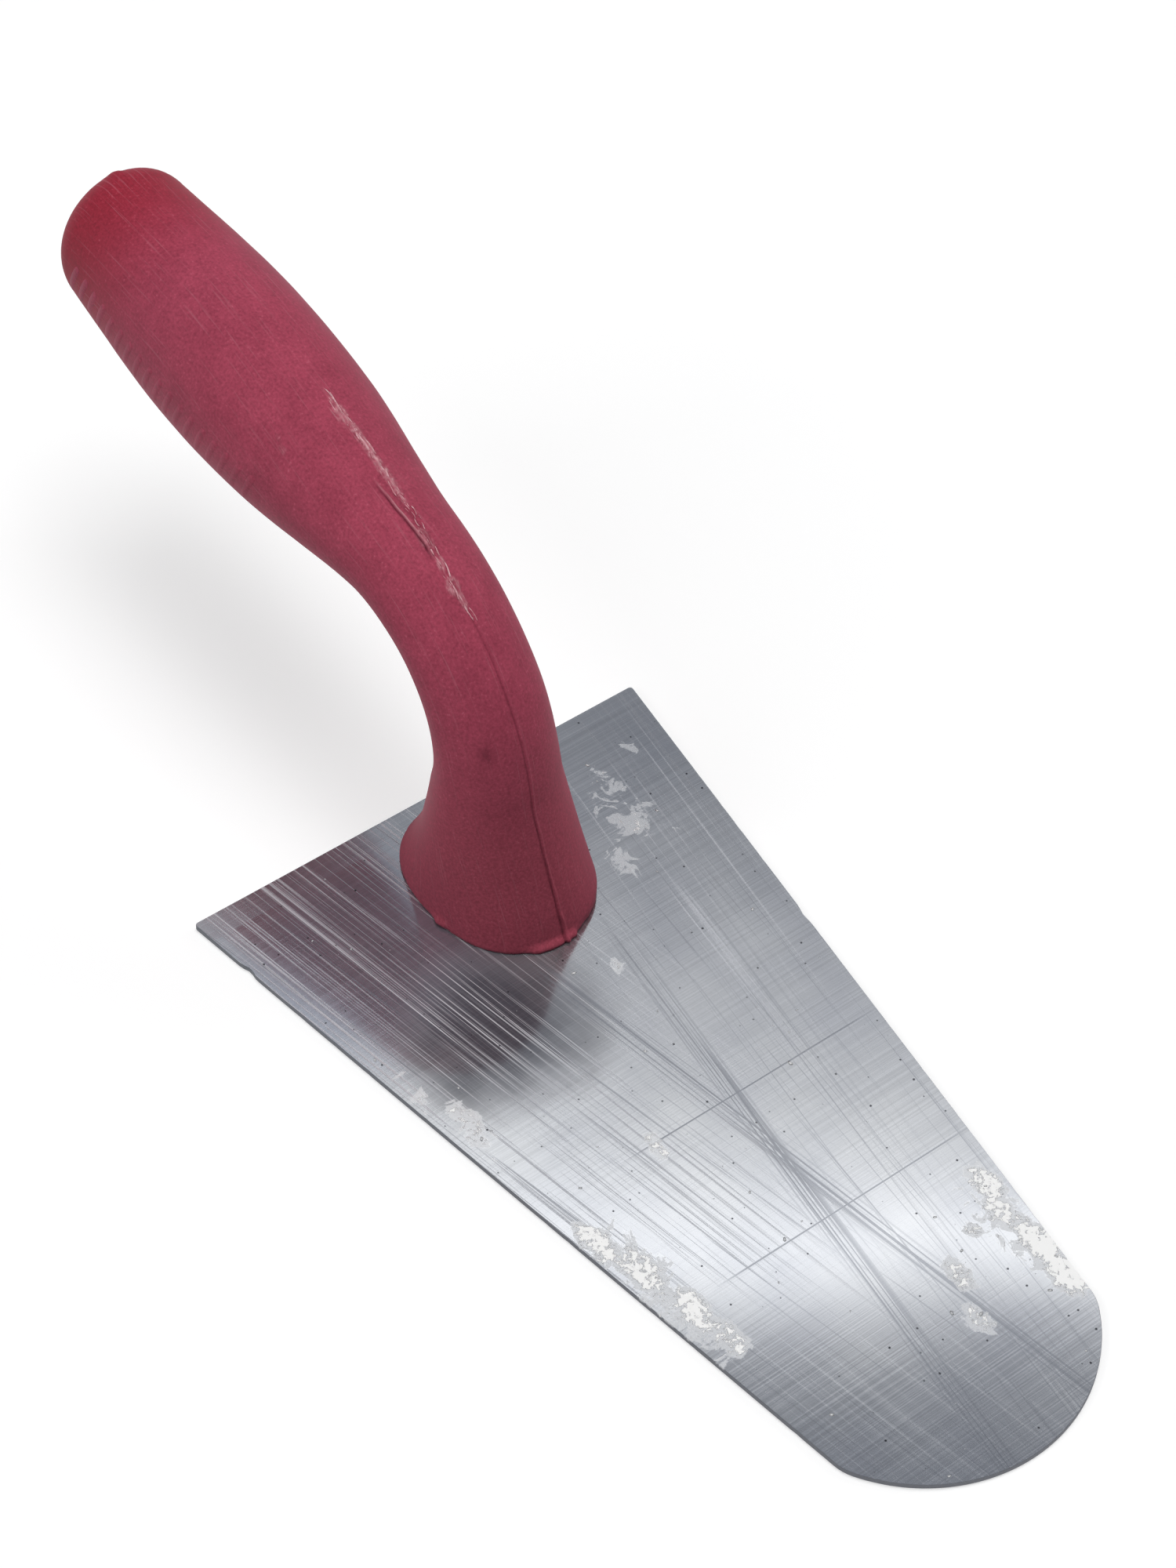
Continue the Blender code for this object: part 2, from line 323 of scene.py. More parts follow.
@dataclass(frozen=True)
class Finish:
    """A procedural material. Its sizes and places are in millimetres, and its levels those of a noise.

    Attributes:
        name: The material's name.
    """

    name: str

    def surface(self, node: Adder, place: NodeSocket) -> dict[str, Any]:
        """Adds the nodes of the look, which each kind of finish has its own of.

        Args:
            node: Adds a node to the material.
            place: Object coordinates in metres.

        Returns:
            The shader's inputs by name.
        """
        raise NotImplementedError

    def material(self) -> Material:
        """Builds the material.

        Returns:
            The material.
        """
        material = bpy.data.materials.new(self.name)
        node = emptied(material)
        look = self.surface(node, node("TexCoord").outputs["Object"])
        node("OutputMaterial", {"Surface": node("BsdfPrincipled", look)})
        return material


@dataclass(frozen=True)
class ScratchFamily:
    """Long scratches that run one way across the blade, left by one habit of use.

    Attributes:
        angle: Direction in degrees from the blade's length, towards +Y.
        length: Typical length in millimetres.
        spacing: Typical spacing in millimetres.
        low: Noise level where a scratch starts to show.
        high: Noise level where it is at its strongest.
        strength: How deep the family is, from 0 to 1.
        shift: Place in the noise, so that no two families match.
        side: The part of the blade that they keep to.
        grimed: Whether old dirt fills the scratches, so that they look dark.
        lane: A place in millimetres that all of them pass, or None where they lie anywhere.
        lane_width: Half the width of that lane in millimetres.
    """

    angle: float
    length: float
    spacing: float
    low: float
    high: float
    strength: float
    shift: float
    side: Side
    grimed: bool = False
    lane: Point2 | None = None
    lane_width: float = 3.2

    def bundle(self, node: Adder, place: Source, turned: Node) -> Node:
        """Adds the nodes that say where the scratches lie together.

        Args:
            node: Adds a node to the material.
            place: Object coordinates in metres.
            turned: The same along and across the scratches.

        Returns:
            A node from 0, where there are none, to the family's strength.
        """
        if self.lane is None:
            # Bundles about eight scratches wide
            level = node("TexNoise", {"Vector": turned, "Scale": 0.13, "Detail": 1.0}, **FLAT)
            return node("MapRange", level, 0.38, 0.56, 0.25, self.strength)
        turn = math.radians(self.angle)
        aside = Vector((-math.sin(turn), math.cos(turn), 0.0))
        middle = Vector((*metres(self.lane), 0.0)).dot(aside)
        across = node("VectorMath", place, aside, operation="DOT_PRODUCT")
        off = join(node, "SUBTRACT", across, middle)
        away = node("Math", off, operation="ABSOLUTE")
        edge = self.lane_width * MM
        return node("MapRange", away, edge, 0.2 * edge, 0.0, self.strength, **SMOOTH)

    def mask(self, node: Adder, place: Source) -> Node:
        """Adds the nodes that say how scratched each point is.

        Args:
            node: Adds a node to the material.
            place: Object coordinates in metres.

        Returns:
            A node from 0, clean, to the family's strength, scratched.
        """
        turned = node(
            "Mapping",
            {
                "Vector": place,
                "Location": (self.shift, -self.shift, 0.0),
                "Rotation": (0.0, 0.0, math.radians(self.angle)),
                "Scale": (self.length * MM, self.spacing * MM, 1.0),
            },
            vector_type="TEXTURE",
        )
        lines = node("TexNoise", {"Vector": turned, "Scale": 1.0, "Detail": 3.0, "Roughness": 0.62}, **FLAT)
        cut = node("MapRange", lines, self.low, self.high, **SMOOTH)
        return join(node, "MULTIPLY", cut, self.bundle(node, place, turned))


@dataclass(frozen=True)
class CrossScore:
    """One thin score straight across the blade, from a hard edge dragged over it.

    Attributes:
        place: Distance from the foot towards the nose, in millimetres.
        low: Where it ends towards -Y.
        high: Where it ends towards +Y.
        width: Of the score.
        fade: How far before and past an end it fades.
    """

    place: float
    low: float
    high: float
    width: float = 0.22
    fade: float = 4.0

    def mask(self, node: Adder, apart: Node) -> Node:
        """Adds the nodes that say how scored each point is.

        Args:
            node: Adds a node to the material.
            apart: Object coordinates, taken apart.

        Returns:
            A node from 0, clean, to 1, scored.
        """
        x, y, _ = apart.outputs
        beside = join(node, "SUBTRACT", x, self.place * MM)
        away = node("Math", beside, operation="ABSOLUTE")
        line = node("MapRange", away, self.width * MM, 0.3 * self.width * MM)
        starts = node("MapRange", y, (self.low - self.fade) * MM, (self.low + self.fade) * MM)
        ends = node("MapRange", y, (self.high + self.fade) * MM, (self.high - self.fade) * MM)
        return join(node, "MULTIPLY", starts, ends, line)


@dataclass(frozen=True)
class GroundBladeSteel(Finish):
    """Cold-rolled carbon steel sheet, ground across its length, scraped in use.

    To the eye it is a dull mirror: it shows the bright and dark parts of the room and the grip
    above it, crossed by fine grinding lines. Scratches scatter, so they are pale where the mirror
    is dark and dark where it is bright. Dry mortar sits on it as a white film near the edges.
    """

    name: str = "ground_blade_steel"
    steel: str = "#c9cbcd"
    tarnish: str = "#adb0b7"
    fresh: str = "#dfe0e4"
    grime: str = "#7f838b"
    # A painted dark reflection in front of the foot
    painted_dark_reflection: str = "#494a53"
    # Blue-grey of the fingered steel: partly dulled steel, partly painted reflection
    fingered_and_reflected: str = "#8b97ad"
    # Grey of the rim: partly sheared steel, partly painted dark reflection
    sheared_and_shaded: str = "#74767c"
    film: str = "#f6f6f5"
    grey_film: str = "#e9eaeb"
    pit: str = "#3d3e44"
    polish: float = 0.075
    scattered: float = 0.36
    heel_dullness: float = 0.20
    roughest: float = 0.62
    bloom: float = 0.08
    grind_spacing: float = 0.30
    grind_length: float = 60.0
    grind_contrast: Point2 = (0.90, 1.07)
    tarnish_size: float = 26.0
    pit_spacing: float = 4.6
    pit_radius: float = 0.30
    film_grain: float = 1.2
    film_patch: float = 5.0
    film_mix: Point2 = (0.60, 1.30)
    film_levels: Point2 = (1.52, 1.60)
    skin_mix: Point2 = (1.15, 0.30)
    skin_levels: Point2 = (1.07, 1.12)
    skin_share: float = 0.62
    # Where the painted dark reflection lies, and where fingers dulled the steel under a painted reflection
    dark_reflection_middle: Point2 = (28.0, -18.0)
    dark_reflection_reach: float = 24.0
    dark_reflection_ragged: float = 20.0
    dark_reflection_share: float = 0.90
    hand_middle: Point2 = (0.0, -30.0)
    hand_reach: float = 36.0
    hand_and_reflection_share: float = 0.48
    grime_share: float = 0.62
    heel_edge: float = -25.0
    heel_band: float = 5.6
    heel_wear: Point2 = (0.0, -16.0)
    upper_heights: Point2 = (0.5, 0.7)
    dull_places: Point2 = (36.0, 92.0)
    dull_shares: Point2 = (0.85, 0.10)
    faint_places: Point2 = (60.0, 104.0)
    faint_shares: Point2 = (1.0, 0.15)
    families: tuple[ScratchFamily, ...] = (
        ScratchFamily(9.3, 90.0, 0.50, 0.57, 0.70, 0.80, 0.013, Side.LEFT),
        ScratchFamily(9.0, 150.0, 0.75, 0.59, 0.70, 0.95, 0.041, Side.LEFT),
        ScratchFamily(9.1, 130.0, 0.48, 0.54, 0.67, 0.75, 0.307, Side.HEEL, False, (0.0, -26.0), 12.0),
        ScratchFamily(10.6, 110.0, 0.70, 0.60, 0.72, 0.75, 0.171, Side.LEFT, True),
        ScratchFamily(-8.1, 110.0, 0.55, 0.62, 0.75, 0.45, 0.067, Side.RIGHT),
        ScratchFamily(-7.4, 150.0, 0.85, 0.58, 0.70, 0.70, 0.093, Side.RIGHT, True),
        ScratchFamily(-4.4, 90.0, 0.60, 0.59, 0.72, 0.70, 0.203, Side.RIGHT, True),
        ScratchFamily(-89.5, 40.0, 0.60, 0.64, 0.80, 0.22, 0.121, Side.RIGHT),
        # Three lanes cross before the nose
        ScratchFamily(9.2, 120.0, 0.55, 0.44, 0.60, 0.95, 0.231, Side.PAST_FOOT, True, (55.0, -0.2)),
        ScratchFamily(-7.2, 120.0, 0.55, 0.44, 0.60, 0.95, 0.259, Side.PAST_FOOT, True, (61.8, 5.8)),
        ScratchFamily(-6.4, 120.0, 0.50, 0.50, 0.62, 0.60, 0.283, Side.PAST_FOOT, False, (60.8, 22.0), 3.6),
    )
    scores: tuple[CrossScore, ...] = (CrossScore(66.0, -17.0, 36.0), CrossScore(96.8, -20.0, 33.0))

    def scratches(self, node: Adder, place: Source, apart: Node) -> tuple[Node, ...]:
        """Adds the scratches, each family on its part of the blade.

        Args:
            node: Adds a node to the material.
            place: Object coordinates in metres.
            apart: The same, taken apart.

        Returns:
            How strong the bright scratches are, and how strong the dirty ones.
        """
        kept_to = {}
        for side in Side:
            axis, *places = side.value
            kept_to[side] = node("MapRange", apart.outputs[axis], *metres(places), **SMOOTH)
        marks: dict[bool, list[Node]] = {False: [], True: [score.mask(node, apart) for score in self.scores]}
        for family in self.families:
            mark = join(node, "MULTIPLY", family.mask(node, place), kept_to[family.side])
            marks[family.grimed].append(mark)
        return tuple(join(node, "MAXIMUM", *parts) for parts in marks.values())

    def pits(self, node: Adder, place: Source) -> Node:
        """Adds small round pits of different sizes.

        Args:
            node: Adds a node to the material.
            place: Object coordinates in metres.

        Returns:
            A node from 0, whole, to 1, pitted.
        """
        cells = node(
            "TexVoronoi", {"Vector": place, "Scale": 1 / (self.pit_spacing * MM), "Randomness": 1.0},
            voronoi_dimensions="2D",
        )
        edge = self.pit_radius / self.pit_spacing
        luck = node("SeparateColor", cells.outputs["Color"])
        size = node("MapRange", luck, 0.55, 1.0, 0.0, edge)
        depth = join(node, "SUBTRACT", size, cells.outputs["Distance"])
        return node("MapRange", depth, 0.0, 0.5 * edge)

    def mortar(self, node: Adder, place: Source) -> tuple[Node, Node]:
        """Adds dry mortar: a white film with a broken edge, and a grey skin of lime round and under it.

        Args:
            node: Adds a node to the material.
            place: Object coordinates in metres.

        Returns:
            How much film covers each point, and how much skin.
        """
        flakes = {"Scale": 1 / (self.film_patch * MM), "Detail": 4.0, "Roughness": 0.6, "Distortion": 0.8}
        crumbs = {"Scale": 1 / (self.film_grain * MM), "Detail": 6.0, "Roughness": 0.72, "Distortion": 0.4}
        grains = [node("TexNoise", {"Vector": place, **grain}, **FLAT) for grain in (flakes, crumbs)]
        residue = node("Attribute", attribute_name=Layer.RESIDUE.value).outputs["Fac"]
        levels = []
        for mix in (self.film_mix, self.skin_mix):
            level = residue
            for grain, share in zip(grains, mix):
                level = node("Math", grain, share, level, operation="MULTIPLY_ADD")
            levels.append(level)
        filmed = node("MapRange", levels[0], *self.film_levels, **SMOOTH)
        return filmed, node("MapRange", levels[1], *self.skin_levels, 0.0, self.skin_share)

    def surface(self, node: Adder, place: NodeSocket) -> dict[str, Any]:
        """Adds the nodes of the look.

        Args:
            node: Adds a node to the material.
            place: Object coordinates in metres.

        Returns:
            The shader's inputs by name.
        """
        apart = node("SeparateXYZ", place)
        x, y, z = apart.outputs

        # Grinding lines run across the blade. Real ones are about 0.1 mm apart, drawn wider to show
        lines = node(
            "Mapping", {"Vector": place, "Scale": (self.grind_spacing * MM, self.grind_length * MM, 1.0)},
            vector_type="TEXTURE",
        )
        grind = node("TexNoise", {"Vector": lines, "Scale": 1.0, "Detail": 2.0, "Roughness": 0.6}, **FLAT)
        broad = {"Scale": 1 / (self.tarnish_size * MM), "Detail": 3.0, "Roughness": 0.55}
        tarnished = node("TexNoise", {"Vector": place, **broad}, **FLAT)
        filmed, hazed = self.mortar(node, place)
        rim = node("Attribute", attribute_name=Layer.RIM.value).outputs["Fac"]

        # Towards the nose the bright scratches are older and duller, and all of them are fainter
        bright, darkened = self.scratches(node, place, apart)
        dulled = node("MapRange", x, *metres(self.dull_places), *self.dull_shares)
        shiny = join(node, "MULTIPLY", bright, dulled)
        dim = join(node, "MULTIPLY", darkened, self.grime_share)
        faint = node("MapRange", x, *metres(self.faint_places), *self.faint_shares)
        scatter = join(node, "MULTIPLY", join(node, "MAXIMUM", bright, dim), faint)

        # A dull strip along the heel was never ground, and wears off towards +Y
        strip = (self.heel_edge + self.heel_band) * MM
        near_heel = node("MapRange", x, strip + 0.4 * MM, strip - 0.4 * MM)
        unground = join(node, "MULTIPLY", near_heel, node("MapRange", y, *metres(self.heel_wear)))

        # A dark patch in front of the foot is a painted dark reflection. Beside it fingers dulled the
        # steel, under a blue-grey that is partly painted reflection. Both lie on the upper face. The
        # underside is scraped clean on the mortar
        upper = node("MapRange", z, *metres(self.upper_heights))
        to_dark_reflection, to_hand = (
            node("VectorMath", place, (*metres(middle), 0.0), operation="DISTANCE")
            for middle in (self.dark_reflection_middle, self.hand_middle)
        )
        uneven = node("Math", tarnished, self.dark_reflection_ragged * MM, to_dark_reflection, operation="MULTIPLY_ADD")
        ragged = join(node, "SUBTRACT", uneven, self.dark_reflection_ragged / 2 * MM)
        darkest = join(node, "MULTIPLY", upper, self.dark_reflection_share)
        reach = self.dark_reflection_reach * MM
        dark_reflected = node("MapRange", ragged, reach, 0.3 * reach, 0.0, darkest, **SMOOTH)
        reach = self.hand_reach * MM
        handled_and_reflected = node("MapRange", to_hand, reach, 0.35 * reach, 0.0, upper, **SMOOTH)

        # Colour
        # The fingered steel's blue-grey is partly painted reflection; the dark patch is painted dark
        # reflection
        fingers_and_reflection = join(node, "MULTIPLY", handled_and_reflected, self.hand_and_reflection_share)
        stains_and_reflections = coat(
            node, self.steel, (tarnished, self.tarnish), (fingers_and_reflection, self.fingered_and_reflected), (dark_reflected, self.painted_dark_reflection)
        )
        ground = node("MapRange", grind, *NOISE_RANGE, *self.grind_contrast)
        lined = node("VectorMath", stains_and_reflections, {"Scale": ground}, operation="SCALE")
        chalky = join(node, "MAXIMUM", filmed, hazed)
        lime = coat(node, self.grey_film, (filmed, self.film))
        # The rim's darker grey is partly sheared steel and partly painted dark reflection
        colour = coat(
            node, lined, (shiny, self.fresh), (dim, self.grime), (self.pits(node, place), self.pit),
            (rim, self.sheared_and_shaded), (chalky, lime),
        )

        # Roughness: a dull mirror between the lines, scattered in scratches, on the rim and on the film
        fine = node("MapRange", grind, 0.4, 0.75, self.polish, self.polish + 0.03)
        blurred = node("Math", handled_and_reflected, 0.05, fine, operation="MULTIPLY_ADD")
        scratched = node("Mix", {0: scatter, 2: blurred, 3: self.scattered})
        heel_dull = join(node, "MULTIPLY", unground, self.heel_dullness)
        cover = join(node, "MAXIMUM", filmed, join(node, "MULTIPLY", hazed, 0.30))
        worn = join(node, "MAXIMUM", scratched, heel_dull, rim, cover)
        rough = join(node, "MINIMUM", worn, self.roughest)

        # A bloom of dust lies on all of it, and hides the metal where the film is. Fingers dulled the
        # metal, the painted dark reflection takes half of it, and the torn steel in a scratch sends light
        # every way
        metal = node("MapRange", cover, 0.0, 1.0, 1.0 - self.bloom, 0.0)
        for mark, share in ((handled_and_reflected, -0.13), (scatter, -0.30), (dark_reflected, -0.50)):
            metal = node("Math", mark, share, metal, operation="MULTIPLY_ADD", use_clamp=True)
        normal = relieved(node, (0.22, 0.004, grind), (0.4, -0.008, scatter), (0.7, 0.06, filmed))
        return {"Base Color": colour, "Metallic": metal, "Roughness": rough, "Normal": normal}


@dataclass(frozen=True)
class MouldedRedPlastic(Finish):
    """Polypropylene moulded on the steel in a two-part mould with a finely blasted face.

    To the eye it is a deep raspberry red with a satin, slightly dusty look: a fine grain, faint
    streaks along the grip, a pale glossy scar where the flash was torn off, dirt with painted shade in
    the crease, painted shadow in the torn plastic's gaps, and painted shade deepening the butt.
    """

    name: str = "moulded_red_polypropylene"
    red: str = "#a34559"
    deep: str = "#983f52"
    foot_red: str = "#a24858"
    # Painted shade: a deeper red over the butt
    butt_painted_shade: str = "#922c3b"
    faded: str = "#b46c79"
    scar: str = "#e6b6bb"
    # Dark red: dirt, and painted shade and shadow in the crease and the torn plastic
    dirt_and_shade: str = "#571e2b"
    dust: str = "#b9bccf"
    satin: float = 0.60
    ior: float = 1.49
    shine: float = 0.17
    sheen: float = 0.035
    sheen_roughness: float = 0.4
    scar_gloss: float = 0.2
    grain: float = 0.55
    speckle: Point2 = (0.80, 1.20)
    mottle: float = 7.0
    streak_length: float = 24.0
    streak_width: float = 0.5
    streak_levels: Point2 = (0.56, 0.72)
    faded_share: float = 0.44
    strand_length: float = 5.0
    strand_width: float = 0.34
    foot_heights: Point2 = (58.0, 14.0)
    butt_shade_places: Point2 = (142.0, 172.0)

    def surface(self, node: Adder, place: NodeSocket) -> dict[str, Any]:
        """Adds the nodes of the look.

        Args:
            node: Adds a node to the material.
            place: Object coordinates in metres.

        Returns:
            The shader's inputs by name.
        """
        along = node("Attribute", attribute_name=Layer.ALONG.value).outputs["Vector"]
        torn = node("Attribute", attribute_name=Layer.TORN.value).outputs["Fac"]
        crease = node("Attribute", attribute_name=Layer.CREASE.value).outputs["Fac"]

        # The blasted face's grain is about 0.1 mm, drawn about five times as coarse to show
        mottle, grain = (
            node("TexNoise", {"Vector": place, "Scale": 1 / (size * MM), "Detail": detail, "Roughness": 0.6})
            for size, detail in ((self.mottle, 4.0), (self.grain, 2.0))
        )
        # Streaks run along the grip, and torn plastic stretched into strands along the seam
        streak_place, strand_place = (
            node("Mapping", {"Vector": along, "Scale": size}, vector_type="TEXTURE")
            for size in (
                (self.streak_length * MM, self.streak_width * MM, 1.0),
                (self.strand_length * MM, self.strand_width * MM, self.strand_width * MM),
            )
        )
        streaks = node("TexNoise", {"Vector": streak_place, "Scale": 1.0, "Detail": 3.0, "Roughness": 0.7})
        strands = node(
            "TexNoise",
            {"Vector": strand_place, "Scale": 1.0, "Detail": 4.0, "Roughness": 0.62, "Distortion": 0.6},
        )
        scarred = join(node, "MULTIPLY", node("MapRange", strands, 0.42, 0.58, 0.45, 1.0), torn)
        # Dark between the strands is painted shadow in the torn plastic's gaps
        gaping = join(node, "MULTIPLY", node("MapRange", strands, 0.42, 0.30), torn)

        # Colour. The foot, which no hand rubs, kept a warmer red, and a painted shade deepens the butt's red
        height = node("SeparateXYZ", place).outputs[2]
        distance = node("SeparateXYZ", along).outputs[0]
        unrubbed, shaded_butt = (
            node("MapRange", where, *metres(places), **SMOOTH)
            for where, places in ((height, self.foot_heights), (distance, self.butt_shade_places))
        )
        mottled = node("MapRange", mottle, *NOISE_RANGE, **SMOOTH)
        body = coat(node, self.deep, (mottled, self.red), (unrubbed, self.foot_red), (shaded_butt, self.butt_painted_shade))
        speckle = node("MapRange", grain, *NOISE_RANGE, *self.speckle)
        grained = node("VectorMath", body, {"Scale": speckle}, operation="SCALE")
        streaked = node("MapRange", streaks, *self.streak_levels, **SMOOTH)
        dull = join(node, "MAXIMUM", streaked, node("MapRange", grain, 0.66, 0.76))
        rubbed = join(node, "MULTIPLY", dull, self.faded_share)
        # Dark red: dirt, with painted shade in the seam and painted shadow in the torn plastic's gaps
        darkened = node("Math", gaping, 0.22, crease, operation="MULTIPLY_ADD")
        dark = join(node, "MINIMUM", darkened, 1.0)
        colour = coat(node, grained, (rubbed, self.faded), (scarred, self.scar), (dark, self.dirt_and_shade))

        # Roughness: satin all over, with a glossy scar
        satin = node("MapRange", grain, *NOISE_RANGE, self.satin - 0.05, self.satin + 0.07)
        glossy = join(node, "MULTIPLY", scarred, self.scar_gloss)
        rough = join(node, "SUBTRACT", satin, glossy)

        torn_strands = join(node, "MULTIPLY", strands, torn)
        normal = relieved(node, (0.3, 0.03, grain), (0.3, 0.03, streaks), (0.8, 0.25, torn_strands))
        return {
            "Base Color": colour, "Roughness": rough, "IOR": self.ior, "Specular IOR Level": self.shine,
            "Sheen Weight": self.sheen, "Sheen Roughness": self.sheen_roughness,
            "Sheen Tint": srgb(self.dust), "Normal": normal,
        }


@dataclass(frozen=True)
class MottledFinish(Finish):
    """A surface of two colours mixed by one noise, which also roughens it.

    Attributes:
        dark: sRGB hex of its darker patches.
        light: sRGB hex of its lighter patches.
        patch: Size of a patch in millimetres.
        metallic: 1 for bare metal, 0 for the rest.
        smooth: Roughness of the lighter patches.
        rough: Roughness of the darker patches.
        relief: Height of the patches in millimetres.
    """

    dark: str
    light: str
    patch: float
    metallic: float
    smooth: float
    rough: float
    relief: float

    def surface(self, node: Adder, place: NodeSocket) -> dict[str, Any]:
        """Adds the nodes of the look.

        Args:
            node: Adds a node to the material.
            place: Object coordinates in metres.

        Returns:
            The shader's inputs by name.
        """
        size = {"Scale": 1 / (self.patch * MM), "Detail": 4.0, "Roughness": 0.6}
        patches = node("TexNoise", {"Vector": place, **size})
        level = node("MapRange", patches, *NOISE_RANGE, **SMOOTH)
        return {
            "Base Color": coat(node, self.dark, (level, self.light)),
            "Metallic": self.metallic,
            "Roughness": node("MapRange", level, 0.0, 1.0, self.rough, self.smooth),
            "Normal": relieved(node, (0.6, self.relief, patches)),
        }


# Dry mortar: lime and cement dust, chalky and almost white
DRY_MORTAR = MottledFinish("dry_mortar", "#b7b9bd", "#e6e7e7", 0.8, 0.0, 0.75, 0.9, 0.05)
# Torn polypropylene: stretched until it turned pale, with a waxy gloss
TORN_PLASTIC = MottledFinish("torn_polypropylene", "#b4626f", "#e2b4ba", 1.4, 0.0, 0.28, 0.42, 0.05)
# Hot-rolled bar: black scale with a grey sheen
BAR_SCALE = MottledFinish("hot_rolled_bar_steel", "#2e2f33", "#54565c", 5.0, 1.0, 0.42, 0.62, 0.03)
# Weld bead: steel that froze in ripples, brown and blue from the heat
WELD_BEAD = MottledFinish("weld_bead_steel", "#4a423c", "#7d7b7a", 1.6, 1.0, 0.35, 0.55, 0.08)


@dataclass
class BladeSheet:
    """The blade: one flat sheet with straight tapering sides and a round nose.

    Attributes:
        length: From the heel to the nose's tip.
        thickness: Of the sheet.
        heel_width: Across the heel.
        heel_corner: Radius of the two heel corners.
        nose_radius: Of the nose's arc.
        nose_sweep: Angle of that arc, in radians.
        nose_corner: Radius where a side meets the nose.
        heel_to_foot: From the heel to the middle of the grip's foot.
        step: Spacing of the mesh along the outline.
        columns: Mesh columns across the blade.
        ease: How far the sheet's edges are worn off.
        warp: Height of the sheet's slow waves.
        patches: Where dry mortar lies, in millimetres: middle x and y, half length along x, half
            width, and strength.
    """

    length: float = 180.0 * MM
    thickness: float = 1.2 * MM
    heel_width: float = 104.0 * MM
    heel_corner: float = 0.7 * MM
    nose_radius: float = 33.0 * MM
    nose_sweep: float = math.radians(123.0)
    nose_corner: float = 9.0 * MM
    heel_to_foot: float = 25.0 * MM
    step: float = 1.1 * MM
    columns: int = 96
    ease: float = 0.09 * MM
    warp: float = 0.10 * MM
    patches: tuple[tuple[float, float, float, float, float], ...] = (
        (92.0, -31.5, 28.0, 7.0, 0.36),
        (77.0, -34.8, 8.0, 3.6, 0.72),
        (86.0, -31.8, 8.0, 4.4, 0.70),
        (98.0, -29.2, 8.0, 3.6, 0.71),
        (107.0, -27.8, 6.0, 3.6, 0.60),
        (43.0, -37.8, 10.0, 4.0, 0.46),
        (31.0, -41.5, 8.0, 3.0, 0.40),
        (118.0, 26.5, 20.0, 7.5, 0.38),
        (108.0, 29.4, 6.0, 3.6, 0.72),
        (113.5, 27.5, 5.0, 3.2, 0.70),
        (123.0, 28.8, 8.0, 4.0, 0.76),
        (131.0, 28.2, 7.0, 4.4, 0.76),
        (120.0, 12.5, 6.0, 3.0, 0.56),
        (114.0, 21.0, 3.2, 2.8, 0.60),
        (129.0, 9.5, 5.0, 3.0, 0.56),
        (0.0, 32.0, 17.0, 8.0, 0.30),
        (6.3, 31.2, 5.5, 3.2, 0.44),
        (-7.0, 32.0, 7.0, 4.0, 0.40),
        (-13.0, 41.7, 7.0, 1.8, 0.32),
        (9.0, 23.0, 8.0, 5.0, 0.32),
        (31.0, 6.5, 4.5, 2.6, 0.38),
        (66.8, -13.2, 4.6, 2.0, 0.62),
    )

    def arc(self, centre: Vector, radius: float, start: float, end: float) -> list[Vector]:
        """Sets points along an arc at the mesh's spacing.

        Args:
            centre: The arc's centre.
            radius: Its radius.
            start: Its first angle, in radians.
            end: Its last angle.

        Returns:
            The points, both ends included.
        """
        count = max(4, math.ceil(abs(end - start) * radius / self.step))
        angles = [start + (end - start) * i / count for i in range(count + 1)]
        return [centre + radius * Vector((math.cos(a), math.sin(a))) for a in angles]

    def half_outline(self) -> list[Vector]:
        """Traces the blade's left edge.

        Returns:
            Points from the heel corner to the nose's tip.
        """
        heel = -self.heel_to_foot
        nose_centre = Vector((heel + self.length - self.nose_radius, 0.0))
        corner = Vector((heel, self.heel_width / 2))
        half_sweep = self.nose_sweep / 2
        shoulder = nose_centre + self.nose_radius * Vector((math.cos(half_sweep), math.sin(half_sweep)))
        along = (shoulder - corner).normalized()
        outward = Vector((-along.y, along.x))
        side_angle = math.atan2(outward.y, outward.x)
        turn = math.pi - side_angle
        setback = self.heel_corner * math.tan(turn / 2)
        heel_centre = Vector((heel + self.heel_corner, corner.y - setback))
        heel_arc = self.arc(heel_centre, self.heel_corner, math.pi, math.pi - turn)
        inner = self.nose_radius - self.nose_corner
        reach = (corner - nose_centre).dot(outward) - self.nose_corner
        offset = reach * outward + math.sqrt(inner**2 - reach**2) * along
        nose_angle = math.atan2(offset.y, offset.x)
        soft = self.arc(nose_centre + offset, self.nose_corner, side_angle, nose_angle)
        nose = self.arc(nose_centre, self.nose_radius, nose_angle, 0.0)
        count = math.ceil((soft[0] - heel_arc[-1]).length / self.step)
        side = [heel_arc[-1].lerp(soft[0], i / count) for i in range(1, count)]
        return heel_arc + side + soft + nose[1:]

    def wear(self, x: float, side: float) -> float:
        """Finds how deep small nicks and wear go on the edge.

        Args:
            x: Place along the blade.
            side: 1 on the left edge, -1 on the right.

        Returns:
            The depth in metres.
        """
        small = max(0.0, wobble(x / (3.0 * MM), 7.0 * side, 1.0) - 0.15) * 0.12
        nick = 0.45 * bell(x, -9.8 * MM, 1.3 * MM) if side < 0 else 0.25 * bell(x, 41.0 * MM, 1.6 * MM)
        return (small + nick) * MM

    def edge_point(self, outline: Sequence[Vector], i: int, side: float, inset: float) -> Vector:
        """Finds a point of the worn edge.

        Args:
            outline: The left edge.
            i: Number of the point along it.
            side: 1 for the left edge, -1 for the right.
            inset: How far it is moved inwards.

        Returns:
            The point.
        """
        rows = len(outline) - 1
        if i in (0, rows):
            outward = Vector((-1.0 if i == 0 else 1.0, 0.0))
        else:
            along = (outline[i + 1] - outline[i - 1]).normalized()
            outward = Vector((-along.y, along.x))
